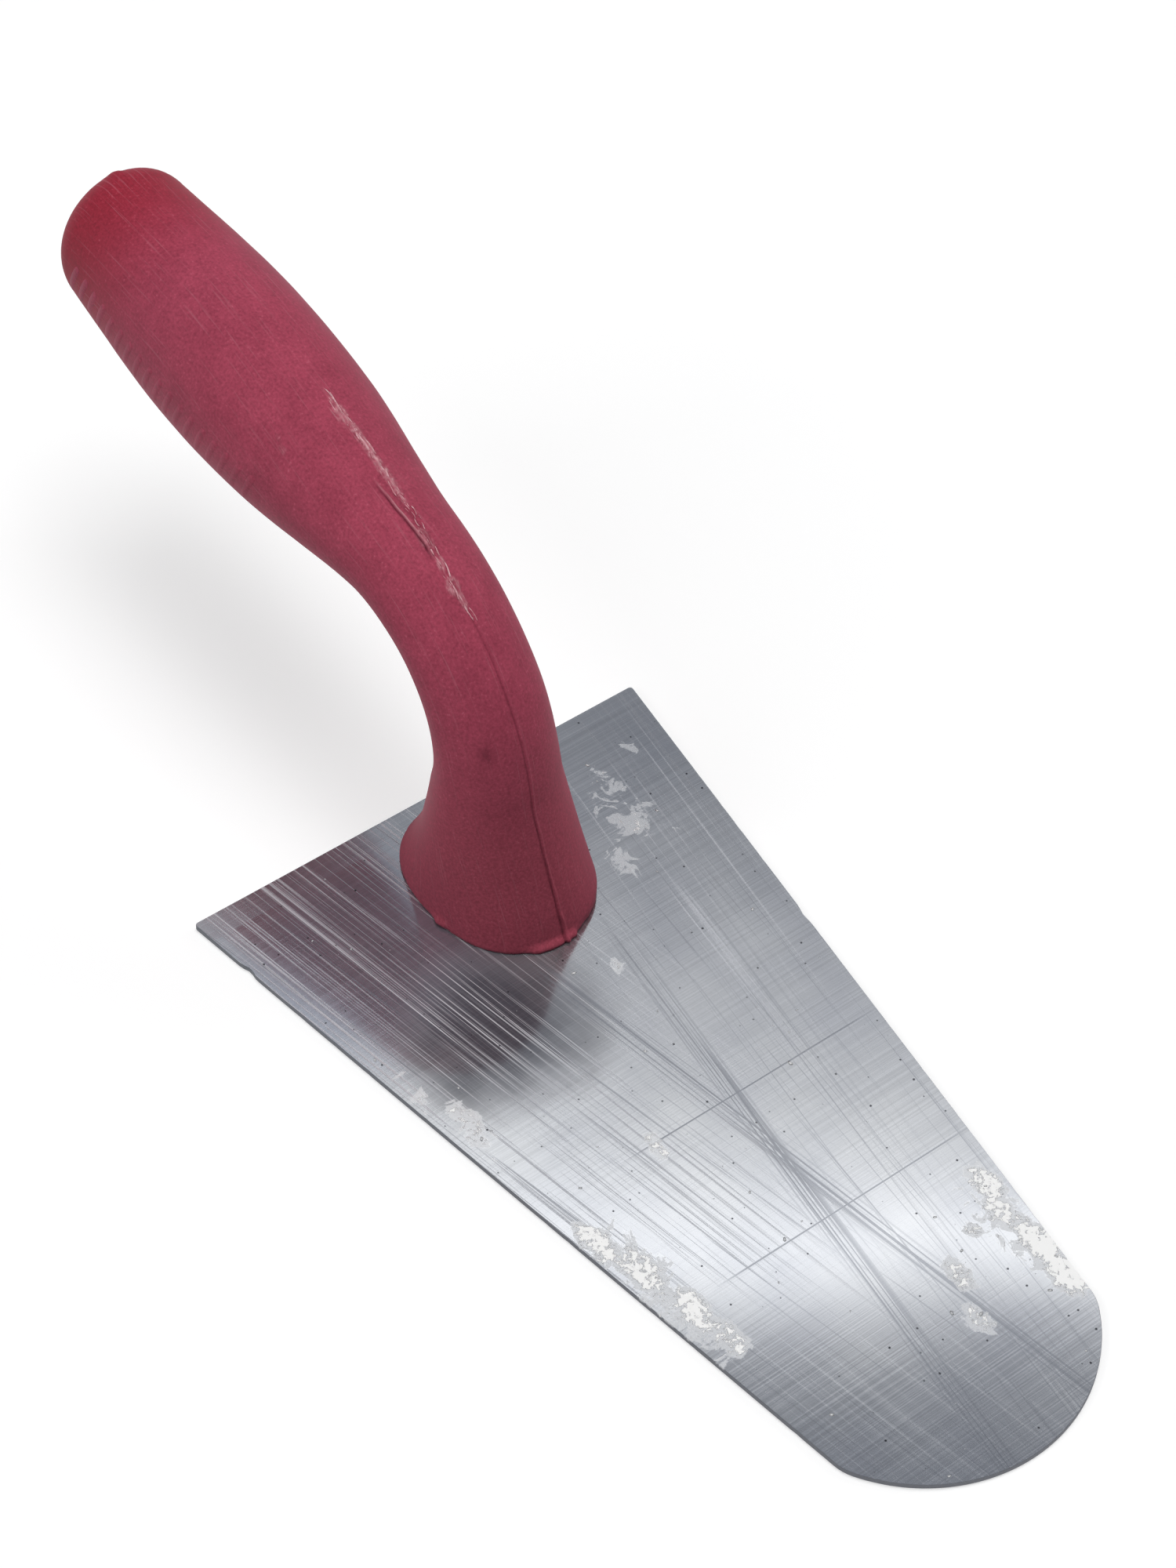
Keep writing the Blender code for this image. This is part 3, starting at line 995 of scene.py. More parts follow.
        # The heel's corners and the tip stay whole
        worn = self.wear(outline[i].x, side) if 6 < i < rows - 2 else 0.0
        p = outline[i] - outward * inset - outward * worn
        return Vector((p.x, p.y * side))

    def top(self, x: float, y: float) -> float:
        """Finds the height of the upper face, which waves slightly away from the foot.

        Args:
            x: Place along the blade.
            y: Place across it.

        Returns:
            The height in metres.
        """
        away = smooth_step(24 * MM, 50 * MM, math.hypot(x, y))
        return self.thickness + self.warp * away * wobble(x / (55 * MM), y / (48 * MM), 3.0)

    def residue(self, x: float, y: float) -> float:
        """Finds how much dry mortar lies at a place.

        Args:
            x: Place along the blade.
            y: Place across it.

        Returns:
            The amount, from 0 to about 0.8.
        """
        amount = 0.0
        for px, py, half_length, half_width, strength in self.patches:
            gap = math.hypot((x - px * MM) / (half_length * MM), (y - py * MM) / (half_width * MM))
            amount = max(amount, strength * smooth_step(1.25, 0.35, gap))
        return amount

    def build(self) -> Mesh:
        """Builds the sheet as one closed mesh.

        Returns:
            The mesh, with its residue and rim layers.
        """
        outline = self.half_outline()
        rows = len(outline) - 1
        across = [2 * j / (self.columns - 1) - 1 for j in range(self.columns)]
        verts: list[tuple[float, float, float]] = []
        faces: list[tuple[int, ...]] = []
        rim: list[float] = []

        def keep(x: float, y: float, z: float, darkness: float = 0.0) -> int:
            """Stores a vertex with its rim layer.

            Args:
                x: Along the blade.
                y: Across it.
                z: Height.
                darkness: How far it belongs to the sheared rim.

            Returns:
                Its number.
            """
            verts.append((x, y, z))
            rim.append(darkness)
            return len(verts) - 1

        def sheet_face(height: Callable[[float, float], float]) -> list[list[int]]:
            """Adds the grid of one face.

            Args:
                height: Of the face at a place.

            Returns:
                Its vertex numbers by row, the tip's last.
            """
            grid = []
            for i in range(rows):
                left, right = (self.edge_point(outline, i, side, self.ease) for side in (1.0, -1.0))
                points = [right.lerp(left, (v + 1) / 2) for v in across]
                grid.append([keep(p.x, p.y, height(p.x, p.y)) for p in points])
            tip = self.edge_point(outline, rows, 1.0, self.ease)
            return grid + [[keep(tip.x, 0.0, height(tip.x, 0.0))]]

        def loop_of(grid: list[list[int]]) -> list[int]:
            """Walks round a face, counter-clockwise seen from above.

            Args:
                grid: The face's vertex numbers by row.

            Returns:
                The vertex numbers of its edge.
            """
            left = [grid[i][-1] for i in reversed(range(rows))]
            return grid[rows] + left + grid[0][-2:0:-1] + [grid[i][0] for i in range(rows)]

        upper = sheet_face(self.top)
        lower = sheet_face(lambda x, y: 0.0)
        for grid, order in ((upper, 1), (lower, -1)):
            for j in range(self.columns - 1):
                for i in range(rows - 1):
                    quad = (grid[i][j], grid[i + 1][j], grid[i + 1][j + 1], grid[i][j + 1])
                    faces.append(quad[::order])
                faces.append((grid[rows - 1][j], grid[rows][0], grid[rows - 1][j + 1])[::order])

        # The rim: an eased edge, the sheared side and an eased edge below
        ease = self.ease
        walk = [(rows, 1.0)] + [(i, 1.0) for i in reversed(range(rows))]
        walk += [(0, v) for v in reversed(across[1:-1])] + [(i, -1.0) for i in range(rows)]
        loops = [loop_of(upper)]
        for inset, drop, darkness in ((0.3 * ease, 0.3 * ease, 0.8), (0.0, ease, 1.0), (0.0, None, 1.0)):
            numbers = []
            for near, (i, v) in zip(loops[0], walk):
                z = ease if drop is None else verts[near][2] - drop
                if i == 0 and abs(v) < 1.0:
                    numbers.append(keep(outline[0].x + inset, v * outline[0].y, z, darkness))
                else:
                    p = self.edge_point(outline, i, v, inset)
                    numbers.append(keep(p.x, p.y if i < rows else 0.0, z, darkness))
            loops.append(numbers)
        loops.append(loop_of(lower))
        for above, below in zip(loops, loops[1:]):
            for k in range(len(above)):
                n = (k + 1) % len(above)
                faces.append((above[k], below[k], below[n], above[n]))

        mesh = bpy.data.meshes.new("blade_sheet")
        mesh.from_pydata(verts, [], faces)
        mesh.validate()
        half = self.thickness / 2
        store_floats(mesh, Layer.RIM, rim)
        store_floats(mesh, Layer.RESIDUE, [self.residue(x, y) if z > half else 0.0 for x, y, z in verts])
        mesh.shade_smooth()
        mesh.set_sharp_from_angle(angle=math.radians(12))
        return mesh

    def dress(self, finish: GroundBladeSteel) -> None:
        """Builds the sheet, dresses it and lets it stand for the CAD blade."""
        settle(new_object("blade_sheet", self.build(), finish.material()), "blade")


@dataclass
class GripForm:
    """The grip's centreline and sections, as moulded round the bent tang.

    Attributes:
        foot_underside: Height of the foot's underside.
        crossing_height: Where the neck's and the palm's straight lines would meet.
        bend_radius: Of the centreline.
        rise: Slope of the palm, in radians.
        reach: From that meeting point to the butt.
        stations: Millimetres from the foot, or from the butt where negative, with full depth and width.
        foot_setback: How far the foot's middle lies behind the tang.
        foot_square: How much squarer than an ellipse the foot is.
        ankle: Distance over which both fade.
        edge_radius: Rounding of the butt's edge.
        crown: Height of the butt's face.
    """

    foot_underside: float = 1.5 * MM
    crossing_height: float = 63.9 * MM
    bend_radius: float = 34.5 * MM
    rise: float = math.radians(6.5)
    reach: float = 128.5 * MM
    stations: tuple[tuple[float, float, float], ...] = (
        (0.0, 41.5, 33.5),
        (17.0, 29.5, 29.0),
        (40.0, 19.2, 23.8),
        (-101.0, 18.0, 23.6),
        (-68.0, 30.0, 32.4),
        (-41.0, 35.8, 33.4),
        (-0.0, 30.0, 27.0),
    )
    foot_setback: float = 1.5 * MM
    foot_square: float = 0.30
    ankle: float = 17.0 * MM
    edge_radius: float = 7.5 * MM
    crown: float = 1.6 * MM

    @property
    def turn(self) -> float:
        """Angle of the bend, in radians."""
        return math.pi / 2 - self.rise

    @property
    def bend_start(self) -> float:
        """Height where the bend starts."""
        return self.crossing_height - self.bend_radius * math.tan(self.turn / 2)

    @property
    def length(self) -> float:
        """Length of the centreline from the foot's underside to the butt."""
        palm = self.reach - self.bend_radius * math.tan(self.turn / 2)
        return self.bend_start - self.foot_underside + self.bend_radius * self.turn + palm

    @property
    def round_start(self) -> float:
        """Distance from the foot where the butt's edge starts to round."""
        return self.length - self.crown - self.edge_radius

    def centre(self, distance: float) -> tuple[Vector, Vector]:
        """Finds a place on the centreline.

        Args:
            distance: From the foot's underside, along the centreline.

        Returns:
            The point and the direction there.
        """
        height = self.foot_underside + distance
        if height <= self.bend_start:
            return Vector((0.0, 0.0, height)), Vector((0.0, 0.0, 1.0))
        past = height - self.bend_start
        turned = min(past, self.bend_radius * self.turn) / self.bend_radius
        back = self.bend_radius * (math.cos(turned) - 1)
        point = Vector((back, 0.0, self.bend_start + self.bend_radius * math.sin(turned)))
        direction = Vector((-math.sin(turned), 0.0, math.cos(turned)))
        return point + direction * max(0.0, past - self.bend_radius * self.turn), direction

    def section(self, distance: float) -> Point2:
        """Finds the grip's size.

        Args:
            distance: From the foot's underside, along the centreline.

        Returns:
            Half depth and half width there.
        """
        places = [
            self.length + place * MM if math.copysign(1.0, place) < 0 else place * MM
            for place, _, _ in self.stations
        ]
        depth, width = (
            through([(place, row[n] * MM) for place, row in zip(places, self.stations)], distance)
            for n in (1, 2)
        )
        return depth / 2, width / 2

    def on_section(self, distance: float, depth: float, width: float, angle: float) -> Vector:
        """Finds a point of a section.

        Args:
            distance: From the foot's underside, along the centreline.
            depth: The section's half depth.
            width: Its half width.
            angle: From the upper seam, towards +Y.

        Returns:
            The point.
        """
        point, direction = self.centre(distance)
        near_foot = min(max(0.0, 1 - distance / self.ankle), 1.0) ** 2
        power = 2 / (2 + self.foot_square * near_foot)
        out = math.copysign(abs(math.cos(angle)) ** power, math.cos(angle)) * depth
        beside = math.copysign(abs(math.sin(angle)) ** power, math.sin(angle)) * width
        return point + ACROSS.cross(direction) * (out - self.foot_setback * near_foot) + ACROSS * beside

    def surface(self, distance: float, angle: float) -> Vector:
        """Point of the plain outside at an angle from the seam, towards +Y."""
        return self.on_section(distance, *self.section(distance), angle)


@dataclass
class MouldedGrip:
    """The grip: a moulded shell with a mould seam, a torn flash and a hollow for the steel.

    Methods take a place in millimetres from the foot, and an offset in millimetres from the seam or
    from the tear, round the section and towards +Y.

    Attributes:
        form: The plain shape.
        ring_step: Spacing of the mesh along the grip.
        torn_step: Spacing along the torn flash.
        seam_offsets: Mesh columns beside the upper seam, in millimetres from it.
        under_offsets: Mesh columns beside the lower seam.
        side_columns: Mesh columns on each side between them.
        torn_from: Where the torn flash starts, in millimetres from the foot.
        torn_to: Where it ends.
        tear_path: Place, and how far the tear was drawn to one side of the seam.
        scar_path: Place, and how far the torn flash's middle lies beside the tear.
        fold_path: Place, and how far the folded lip lies beside the tear.
        lip_heights: Place, and height of the seam's lip.
        tangles: Where torn plastic lies in knots: place, offset from the tear, half length, half
            width, and strength.
        foot_drop: How far the foot's edge hangs below its underside.
        foot_aside: How far the foot was moulded beside the tang, towards +Y.
        pocket: Length and width of the pocket for the foot plate.
        pocket_top: Height of that pocket.
        weld_room: Radius and height of the pocket for the weld round the tang.
        bore: Radius of the bore for the tang.
        bore_end_from_butt: Where the bore ends.
    """

    form: GripForm
    ring_step: float = 0.42 * MM
    torn_step: float = 0.26 * MM
    seam_offsets: tuple[float, ...] = (
        0.0, 0.12, 0.25, 0.4, 0.58, 0.78, 1.0, 1.22, 1.46, 1.72, 2.0, 2.3, 2.65, 3.1, 3.7
    )
    under_offsets: tuple[float, ...] = (0.0, 0.2, 0.45, 0.8, 1.4, 2.2, 3.2)
    side_columns: int = 48
    torn_from: float = 61.0
    torn_to: float = 113.0
    tear_path: tuple[Point2, ...] = ((62.0, 0.1), (68.0, 0.6), (74.0, 1.4), (80.0, 1.8), (113.0, 1.9))
    scar_path: tuple[Point2, ...] = (
        (60.0, -0.1), (66.0, -0.4), (72.0, -0.9), (80.0, -0.3), (90.0, 0.1), (98.0, 0.2), (112.0, -0.1)
    )
    fold_path: tuple[Point2, ...] = ((70.0, -1.6), (75.0, -1.8), (80.0, -2.1), (86.0, -2.4), (92.0, -2.6))
    lip_heights: tuple[Point2, ...] = (
        (0.0, 0.42), (14.0, 0.34), (30.0, 0.24), (60.0, 0.18), (80.0, 0.10), (115.0, 0.05), (180.0, 0.04)
    )
    tangles: tuple[tuple[float, float, float, float, float], ...] = (
        (76.2, -1.4, 2.2, 1.2, 0.90),
        (71.4, -1.3, 1.8, 0.5, 0.85),
        (71.8, -0.5, 1.6, 0.4, 0.70),
        (68.2, -0.8, 1.3, 1.2, 1.00),
        (65.8, -0.4, 1.8, 0.8, 0.65),
        (103.5, -1.0, 3.0, 0.9, 0.50),
        (88.0, 2.0, 7.0, 1.3, 0.22),
    )
    foot_drop: float = 0.22 * MM
    foot_aside: float = 1.9 * MM
    pocket: Point2 = (31.1 * MM, 23.1 * MM)
    pocket_top: float = 4.8 * MM
    weld_room: float = 7.5 * MM
    bore: float = 4.8 * MM
    bore_end_from_butt: float = 32.7 * MM

    def angles(self, width: float) -> list[float]:
        """Sets the angles of the mesh's columns round a section.

        Args:
            width: Half width of the section.

        Returns:
            Angles from the upper seam towards +Y to the lower one, and back on the other side.
        """
        # In the middle of the butt the columns keep the spread of a wider section
        base = max(width, 9.0 * MM)
        top = [math.asin(offset * MM / base) for offset in self.seam_offsets]
        under = [math.pi - math.asin(offset * MM / base) for offset in self.under_offsets]
        span = under[-1] - top[-1]
        middle = [top[-1] + span * (i + 1) / (self.side_columns + 1) for i in range(self.side_columns)]
        half = top + middle + under[::-1]
        return half + [-a for a in half[-2:0:-1]]

    def scar_middle(self, place: float) -> float:
        """How far the torn flash's middle lies beside the tear, in millimetres towards +Y."""
        return through(self.scar_path, place) + 0.22 * wobble(place / 3.0, 0.0, 2.0)

    def lip(self, place: float) -> float:
        """Height of the seam's lip in millimetres, which is ragged near the foot."""
        ragged = smooth_step(34.0, 4.0, place) * 0.9 * wobble(place / 2.2, 1.0, 0.0)
        return through(self.lip_heights, place) * (1 + ragged)

    def torn(self, place: float, tear: float) -> float:
        """Finds how torn the surface is, in the flash, in its knots and in one scuff beside them.

        Args:
            place: From the foot.
            tear: From the tear.

        Returns:
            From 0, whole, to 1, torn.
        """
        width = 0.80 + 0.40 * wobble(place / 4.0, 3.0, 0.0)
        window = smooth_step(80.0, 87.0, place) * smooth_step(self.torn_to - 3, self.torn_to - 9, place)
        amount = window * bell(tear, self.scar_middle(place), width)
        for middle, beside, half_length, half_width, strength in self.tangles:
            near = bell(place, middle, half_length) * bell(tear, beside, half_width)
            amount = max(amount, strength * near)
        scuff = 0.8 * bell(place, 105.5, 1.7) * bell(tear, -12.0 + 0.15 * (place - 105.5), 0.25)
        return min(1.0, amount + scuff)

    def details(self, place: float, offset: float, angle: float, spot: Vector) -> tuple[float, float, float]:
        """Finds the moulded and torn details over the plain form.

        Args:
            place: From the foot.
            offset: From the upper seam.
            angle: Angle from the upper seam.
            spot: The plain point.

        Returns:
            Their height in metres, how pale the plastic was torn, and how dark it is with dirt, painted
            shade and painted shadow.
        """
        # The mould's waves, its two seams, and the nub at the butt
        wave = 0.09 * noise.noise(spot / (17 * MM)) + 0.03 * noise.noise(spot / (6 * MM))
        wander = 0.22 * wobble(place / 11.0, 0.0, 0.0)
        wander += 0.40 * smooth_step(34, 5, place) * wobble(place / 4.5, 4.0, 0.0)
        lip = self.lip(place)
        seam = lip * bell(offset - wander, 0.30, 0.27) - 0.5 * lip * bell(offset - wander, -0.06, 0.17)
        under = 0.16 * bell(abs(angle), math.pi, 0.022)
        nub = 0.62 * bell(place, 174.6, 1.6) * bell(offset, -0.6, 1.5)

        # Torn plastic lies in wrinkles, with a pale broken thread along its middle
        tear = offset - through(self.tear_path, place)
        torn = self.torn(place, tear)
        crest = scar = 0.0
        if torn > 0.02:
            long = 1 - min(1.0, abs(wobble(place / 2.1, tear / 0.75, 4.0)) / 0.32)
            short = 1 - min(1.0, abs(wobble(place / 0.9, tear / 0.60, 9.0)) / 0.30)
            crest = max(long, 0.75 * short)
            scar = torn * (0.02 + 0.38 * crest)
        wrinkled = smooth_step(0.1, 0.6, torn) * (0.05 + 0.60 * crest**2.5)
        window = smooth_step(81.0, 88.0, place) * smooth_step(self.torn_to - 2, self.torn_to - 10, place)
        broken = smooth_step(-0.35, 0.15, wobble(place / 1.7, 6.0, 0.0))
        middle = self.scar_middle(place) + 0.18 * wobble(place / 1.3, 7.0, 0.0)
        thread = window * broken * bell(tear, middle, 0.24)

        # A lip of flash folded over beside the seam
        folded = smooth_step(72.0, 75.5, place) * smooth_step(91.0, 85.0, place)
        beyond = tear - through(self.fold_path, place) - 0.22 * wobble(place / 2.4, 9.0, 0.0)
        fold = 0.36 * folded * bell(beyond, 0.0, 0.15 if beyond < 0 else 0.45)
        pale = max(wrinkled, thread, 0.45 * folded * bell(beyond, 0.06, 0.17))

        # Painted shadow darkens the gaps between the wrinkles and beside the fold, dirt and painted shade
        # darken the seam's groove near the neck, and dirt lies in one spot on the neck
        dirt_and_shade = 0.35 * torn * (1 - crest) ** 3
        dirt_and_shade += folded * (0.9 * bell(beyond, -0.34, 0.2) + 0.30 * bell(beyond, 1.2, 0.6))
        dirt_and_shade += 0.55 * smooth_step(0.05, 0.3, lip) * smooth_step(70, 62, place) * bell(offset, -0.05, 0.16)
        dirt_and_shade += 0.55 * bell(place, 43.0, 1.3) * bell(offset, -6.6, 1.0)
        return (wave + seam + scar + fold + nub + under) * MM, pale, dirt_and_shade

    def foot_edge(self, place: float, angle: float) -> float:
        """Finds how far the foot's lower edge stands out, with its flash and its worn corner.

        Args:
            place: From the foot.
            angle: Angle from the upper seam.

        Returns:
            The distance in metres.
        """
        degrees = math.degrees(angle)
        ragged = 0.16 * wobble(degrees / 5.0, 2.0, 0.0) * smooth_step(2.4, 0.0, place)
        front = smooth_step(-24, -16, degrees) * smooth_step(9, 6, degrees)
        flap = 0.75 * smooth_step(1.8, 0.3, place) * front
        nub = 0.9 * bell(place, 0.6, 0.9) * bell(degrees, -82, 3.2)
        corner = smooth_step(10, 18, degrees) * smooth_step(95, 60, degrees)
        worn = -0.45 * smooth_step(2.6, 0.0, place) ** 1.5 * corner
        return (ragged + flap + nub + worn) * MM

    def outer_rings(self) -> list[tuple[float, float, float]]:
        """Sets the outside's sections, from the foot to the butt.

        Returns:
            Distance from the foot, half depth and half width of each.
        """
        form = self.form
        depth, width = form.section(0.0)
        rings = [
            (distance, depth - taken * MM, width - taken * MM)
            for distance, taken in ((-self.foot_drop, 0.30), (-0.05 * MM, 0.08))
        ]
        places = [0.0, self.torn_from * MM, self.torn_to * MM, form.round_start]
        for start, end, step in zip(places, places[1:], (self.ring_step, self.torn_step, self.ring_step)):
            count = math.ceil((end - start) / step)
            for i in range(1, count + 1):
                distance = start + (end - start) * i / count
                rings.append((distance, *form.section(distance)))
        _, depth, width = rings[-1]
        steps = 18
        for i in range(1, steps + 1):
            angle = math.pi / 2 * i / steps
            taken = form.edge_radius * (1 - math.cos(angle))
            distance = form.round_start + form.edge_radius * math.sin(angle)
            rings.append((distance, depth - taken, width - taken))
        _, depth, width = rings[-1]
        for share in (0.86, 0.72, 0.58, 0.44, 0.30, 0.16):
            rings.append((form.length - form.crown * share**2, depth * share, width * share))
        return rings

    def hollow_rings(self) -> list[tuple[float, float, float]]:
        """Sets the hollow's sections, from its end to the foot.

        Returns:
            Distance from the foot, radius and straight half length of each.
        """
        form = self.form
        end = form.length - self.bore_end_from_butt
        start = self.weld_room - form.foot_underside
        count = 30
        wide = self.pocket[1] / 2
        straight = self.pocket[0] / 2 - wide
        pocket_top = self.pocket_top - form.foot_underside
        return [
            *((end + (start - end) * i / count, self.bore, 0.0) for i in range(count + 1)),
            (start, self.weld_room, 0.0), (pocket_top, self.weld_room, 0.0),
            (pocket_top, wide, straight), (-self.foot_drop, wide, straight),
        ]

    def build(self) -> Mesh:
        """Builds the grip as one closed shell.

        Returns:
            The mesh, with its torn, crease and along layers.
        """
        form = self.form
        verts: list[Vector] = []
        torn: list[float] = []
        crease: list[float] = []
        along: list[float] = []
        loops: list[list[int]] = []
        foot_angles = self.angles(form.section(0.0)[1])

        def keep(point: Vector, where: Sequence[float], marks: Sequence[float] = (0.0, 0.0)) -> int:
            """Stores a vertex with its layers.

            Args:
                point: The vertex.
                where: Its place along and round the grip.
                marks: How pale it is, and how dark with dirt, painted shade and painted shadow.

            Returns:
                Its number.
            """
            verts.append(point)
            torn.append(marks[0])
            crease.append(marks[1])
            along.extend(where)
            return len(verts) - 1

        hollow = self.hollow_rings()
        first = keep(form.centre(hollow[0][0])[0], (hollow[0][0], 0.0, 0.0))
        for distance, radius, straight in hollow:
            point, direction = form.centre(distance)
            outward = ACROSS.cross(direction)
            numbers = []
            for angle in foot_angles:
                out, beside = math.cos(angle), math.sin(angle)
                # A pocket has straight sides between two round ends
                shift = straight * min(max(2.5 * out, -1.0), 1.0)
                spot = point + outward * (radius * out + shift) + ACROSS * radius * beside
                numbers.append(keep(spot, (distance, abs(angle) * radius, beside * MM)))
            loops.append(numbers)

        for distance, depth, width in self.outer_rings():
            _, direction = form.centre(distance)
            outward = ACROSS.cross(direction)
            place = distance / MM
            toward_butt = smooth_step(form.round_start, form.length - form.crown, distance)
            # The neck leads back from the foot to the middle plane
            aside = ACROSS * self.foot_aside * max(0.0, 1 - place / 30.0)
            numbers = []
            for angle in self.angles(width):
                out, beside = math.cos(angle), math.sin(angle)
                spot = form.on_section(distance, depth, width, angle)
                slope = (outward * out / max(depth, MM) + ACROSS * beside / max(width, MM)).normalized()
                lean = (slope * (1 - toward_butt) + direction * toward_butt).normalized()
                # The lower half lies out of reach of the upper seam's details
                offset = beside * width / MM if abs(angle) < math.pi / 2 else math.copysign(99.0, angle)
                height, *marks = self.details(place, offset, angle, spot)
                spot = spot + lean * height + slope * self.foot_edge(place, angle) + aside
                where = (distance, abs(angle * (depth + width) / 2), beside * 4 * MM)
                numbers.append(keep(spot, where, marks))
            loops.append(numbers)
        last = keep(form.centre(form.length)[0], (form.length, 0.0, 0.0))

        count = len(foot_angles)
        faces: list[tuple[int, ...]] = []
        for k in range(count):
            n = (k + 1) % count
            faces.append((first, loops[0][n], loops[0][k]))
            faces.append((last, loops[-1][k], loops[-1][n]))
            for below, above in zip(loops, loops[1:]):
                faces.append((below[k], below[n], above[n], above[k]))

        mesh = bpy.data.meshes.new("grip_shell")
        mesh.from_pydata([tuple(v) for v in verts], [], faces)
        mesh.validate()
        store_floats(mesh, Layer.TORN, torn)
        store_floats(mesh, Layer.CREASE, crease)
        mesh.attributes.new(Layer.ALONG.value, "FLOAT_VECTOR", "POINT").data.foreach_set("vector", along)
        mesh.shade_smooth()
        return mesh

    def dress(self, material: Material) -> Object:
        """Builds the shell, dresses it and lets it stand for the CAD grip.

        Args:
            material: Of the grip.

        Returns:
            The shell.
        """
        obj = new_object("grip_shell", self.build(), material)
        settle(obj, "grip")
        return obj


class Grown:
    """A piece that Geometry Nodes grow on a seed mesh."""

    def nodes(self, node: Adder, given: Any) -> Node:
        """Adds the nodes that grow the piece, which each kind of piece has its own of.

        Args:
            node: Adds a node to the tree.
            given: The tree's inputs by name.

        Returns:
            The node whose geometry has grown.
        """
        raise NotImplementedError

    def grow(self, name: str, seed_mesh: Mesh, slot: Slot, values: dict[str, Any]) -> None:
        """Grows the piece and keeps it as a plain mesh.

        Args:
            name: The piece's name.
            seed_mesh: The mesh that goes in.
            slot: The piece's material slot; not used.
            values: The inputs' values by name, which also give each input its type.
        """
        kinds = {int: "Int", float: "Float", tuple: "Vector", Object: "Object", Material: "Material"}
        tree = bpy.data.node_groups.new(name, "GeometryNodeTree")
        tree.interface.new_socket("Geometry", in_out="INPUT", socket_type="NodeSocketGeometry")
        for label, value in values.items():
            tree.interface.new_socket(label, in_out="INPUT", socket_type="NodeSocket" + kinds[type(value)])
        tree.interface.new_socket("Geometry", in_out="OUTPUT", socket_type="NodeSocketGeometry")
        node = partial(add, tree)
        given = node("NodeGroupInput").outputs
        smooth = node("SetShadeSmooth", node("RealizeInstances", self.nodes(node, given)))
        node("NodeGroupOutput", node("SetMaterial", smooth, {"Material": given["Material"]}))

        carrier = new_object(name + "_seed", seed_mesh)
        modifier = carrier.modifiers.new(name, "NODES")
        modifier.node_group = tree
        for socket in tree.interface.items_tree:
            if socket.in_out == "INPUT" and socket.name in values:
                modifier[socket.identifier] = values[socket.name]
        evaluated = carrier.evaluated_get(bpy.context.evaluated_depsgraph_get())
        mesh = bpy.data.meshes.new_from_object(evaluated)
        mesh.name = name
        bpy.data.objects.remove(carrier, do_unlink=True)
        bpy.data.meshes.remove(seed_mesh)
        settle(new_object(name, mesh))


@dataclass
class SideRibs(Grown):
    """A row of plain slanted ribs on each side of the palm.

    Attributes:
        form: The grip's plain shape.
        count: Ribs in a row.
        start: Where the row starts, from the foot.
        end: Where it ends.
        angle: How far round from the seam the row lies, in radians.
        height: Length of a rib, round the palm.
        radius: Of the rib's round section.
        sink: How deep the section's middle lies under the surface.
        slant: Lean of a rib, in radians.
        steps: Of the rail that the row follows.
    """

    form: GripForm
    count: int = 18
    start: float = 108.0 * MM
    end: float = 168.0 * MM
    angle: float = math.radians(92.0)
    height: float = 11.5 * MM
    radius: float = 2.00 * MM
    sink: float = 1.83 * MM
    slant: float = math.radians(28.0)
    steps: int = 24

    def nodes(self, node: Adder, given: Any) -> Node:
        """Sets ribs along a rail and lays them on the grip.

        Args:
            node: Adds a node to the tree.
            given: The tree's inputs by name.

        Returns:
            The node whose geometry has grown.
        """
        path = node("MeshToCurve", given["Geometry"])
        spots = node("ResampleCurve", {"Curve": path, "Count": given["Count"]})
        half = join(node, "MULTIPLY", given["Height"], 0.5)
        low = join(node, "MULTIPLY", half, -1.0)
        start, end = (node("CombineXYZ", {2: height}) for height in (low, half))
        line = node("CurvePrimitiveLine", {"Start": start, "End": end})
        fine = node("ResampleCurve", {"Curve": line, "Count": 15})
        lean = node("CombineXYZ", {1: given["Slant"]})
        row = node("InstanceOnPoints", {"Points": spots, "Instance": fine, "Rotation": lean})
        grip = node("GeometryNodeObjectInfo", {"Object": given["Grip"]}).outputs["Geometry"]
        nearest = node("Proximity", grip, target_element="FACES")
        laid = node(
            "SetPosition", node("RealizeInstances", row), {"Position": nearest, "Offset": given["Sink"]}
        )
        return tapered(node, laid, given["Radius"], 10, 1.02, 8.0)

    def dress(self, grip: Object, material: Material) -> None:
        """Grows the two rows of ribs on the grip.

        Args:
            grip: The grip's shell.
            material: The grip's material.
        """
        places = [self.start + (self.end - self.start) * i / self.steps for i in range(self.steps + 1)]
        for side, name in ((1.0, "palm_ribs_left"), (-1.0, "palm_ribs_right")):
            path = rail(name + "_rail", [self.form.surface(p, side * self.angle) for p in places])
            values = {
                "Grip": grip,
                "Count": self.count,
                "Height": self.height,
                "Radius": self.radius,
                "Sink": (0.0, -side * self.sink, 0.0),
                "Slant": self.slant,
                "Material": material,
            }
            self.grow(name, path, Slot.GRIP, values)


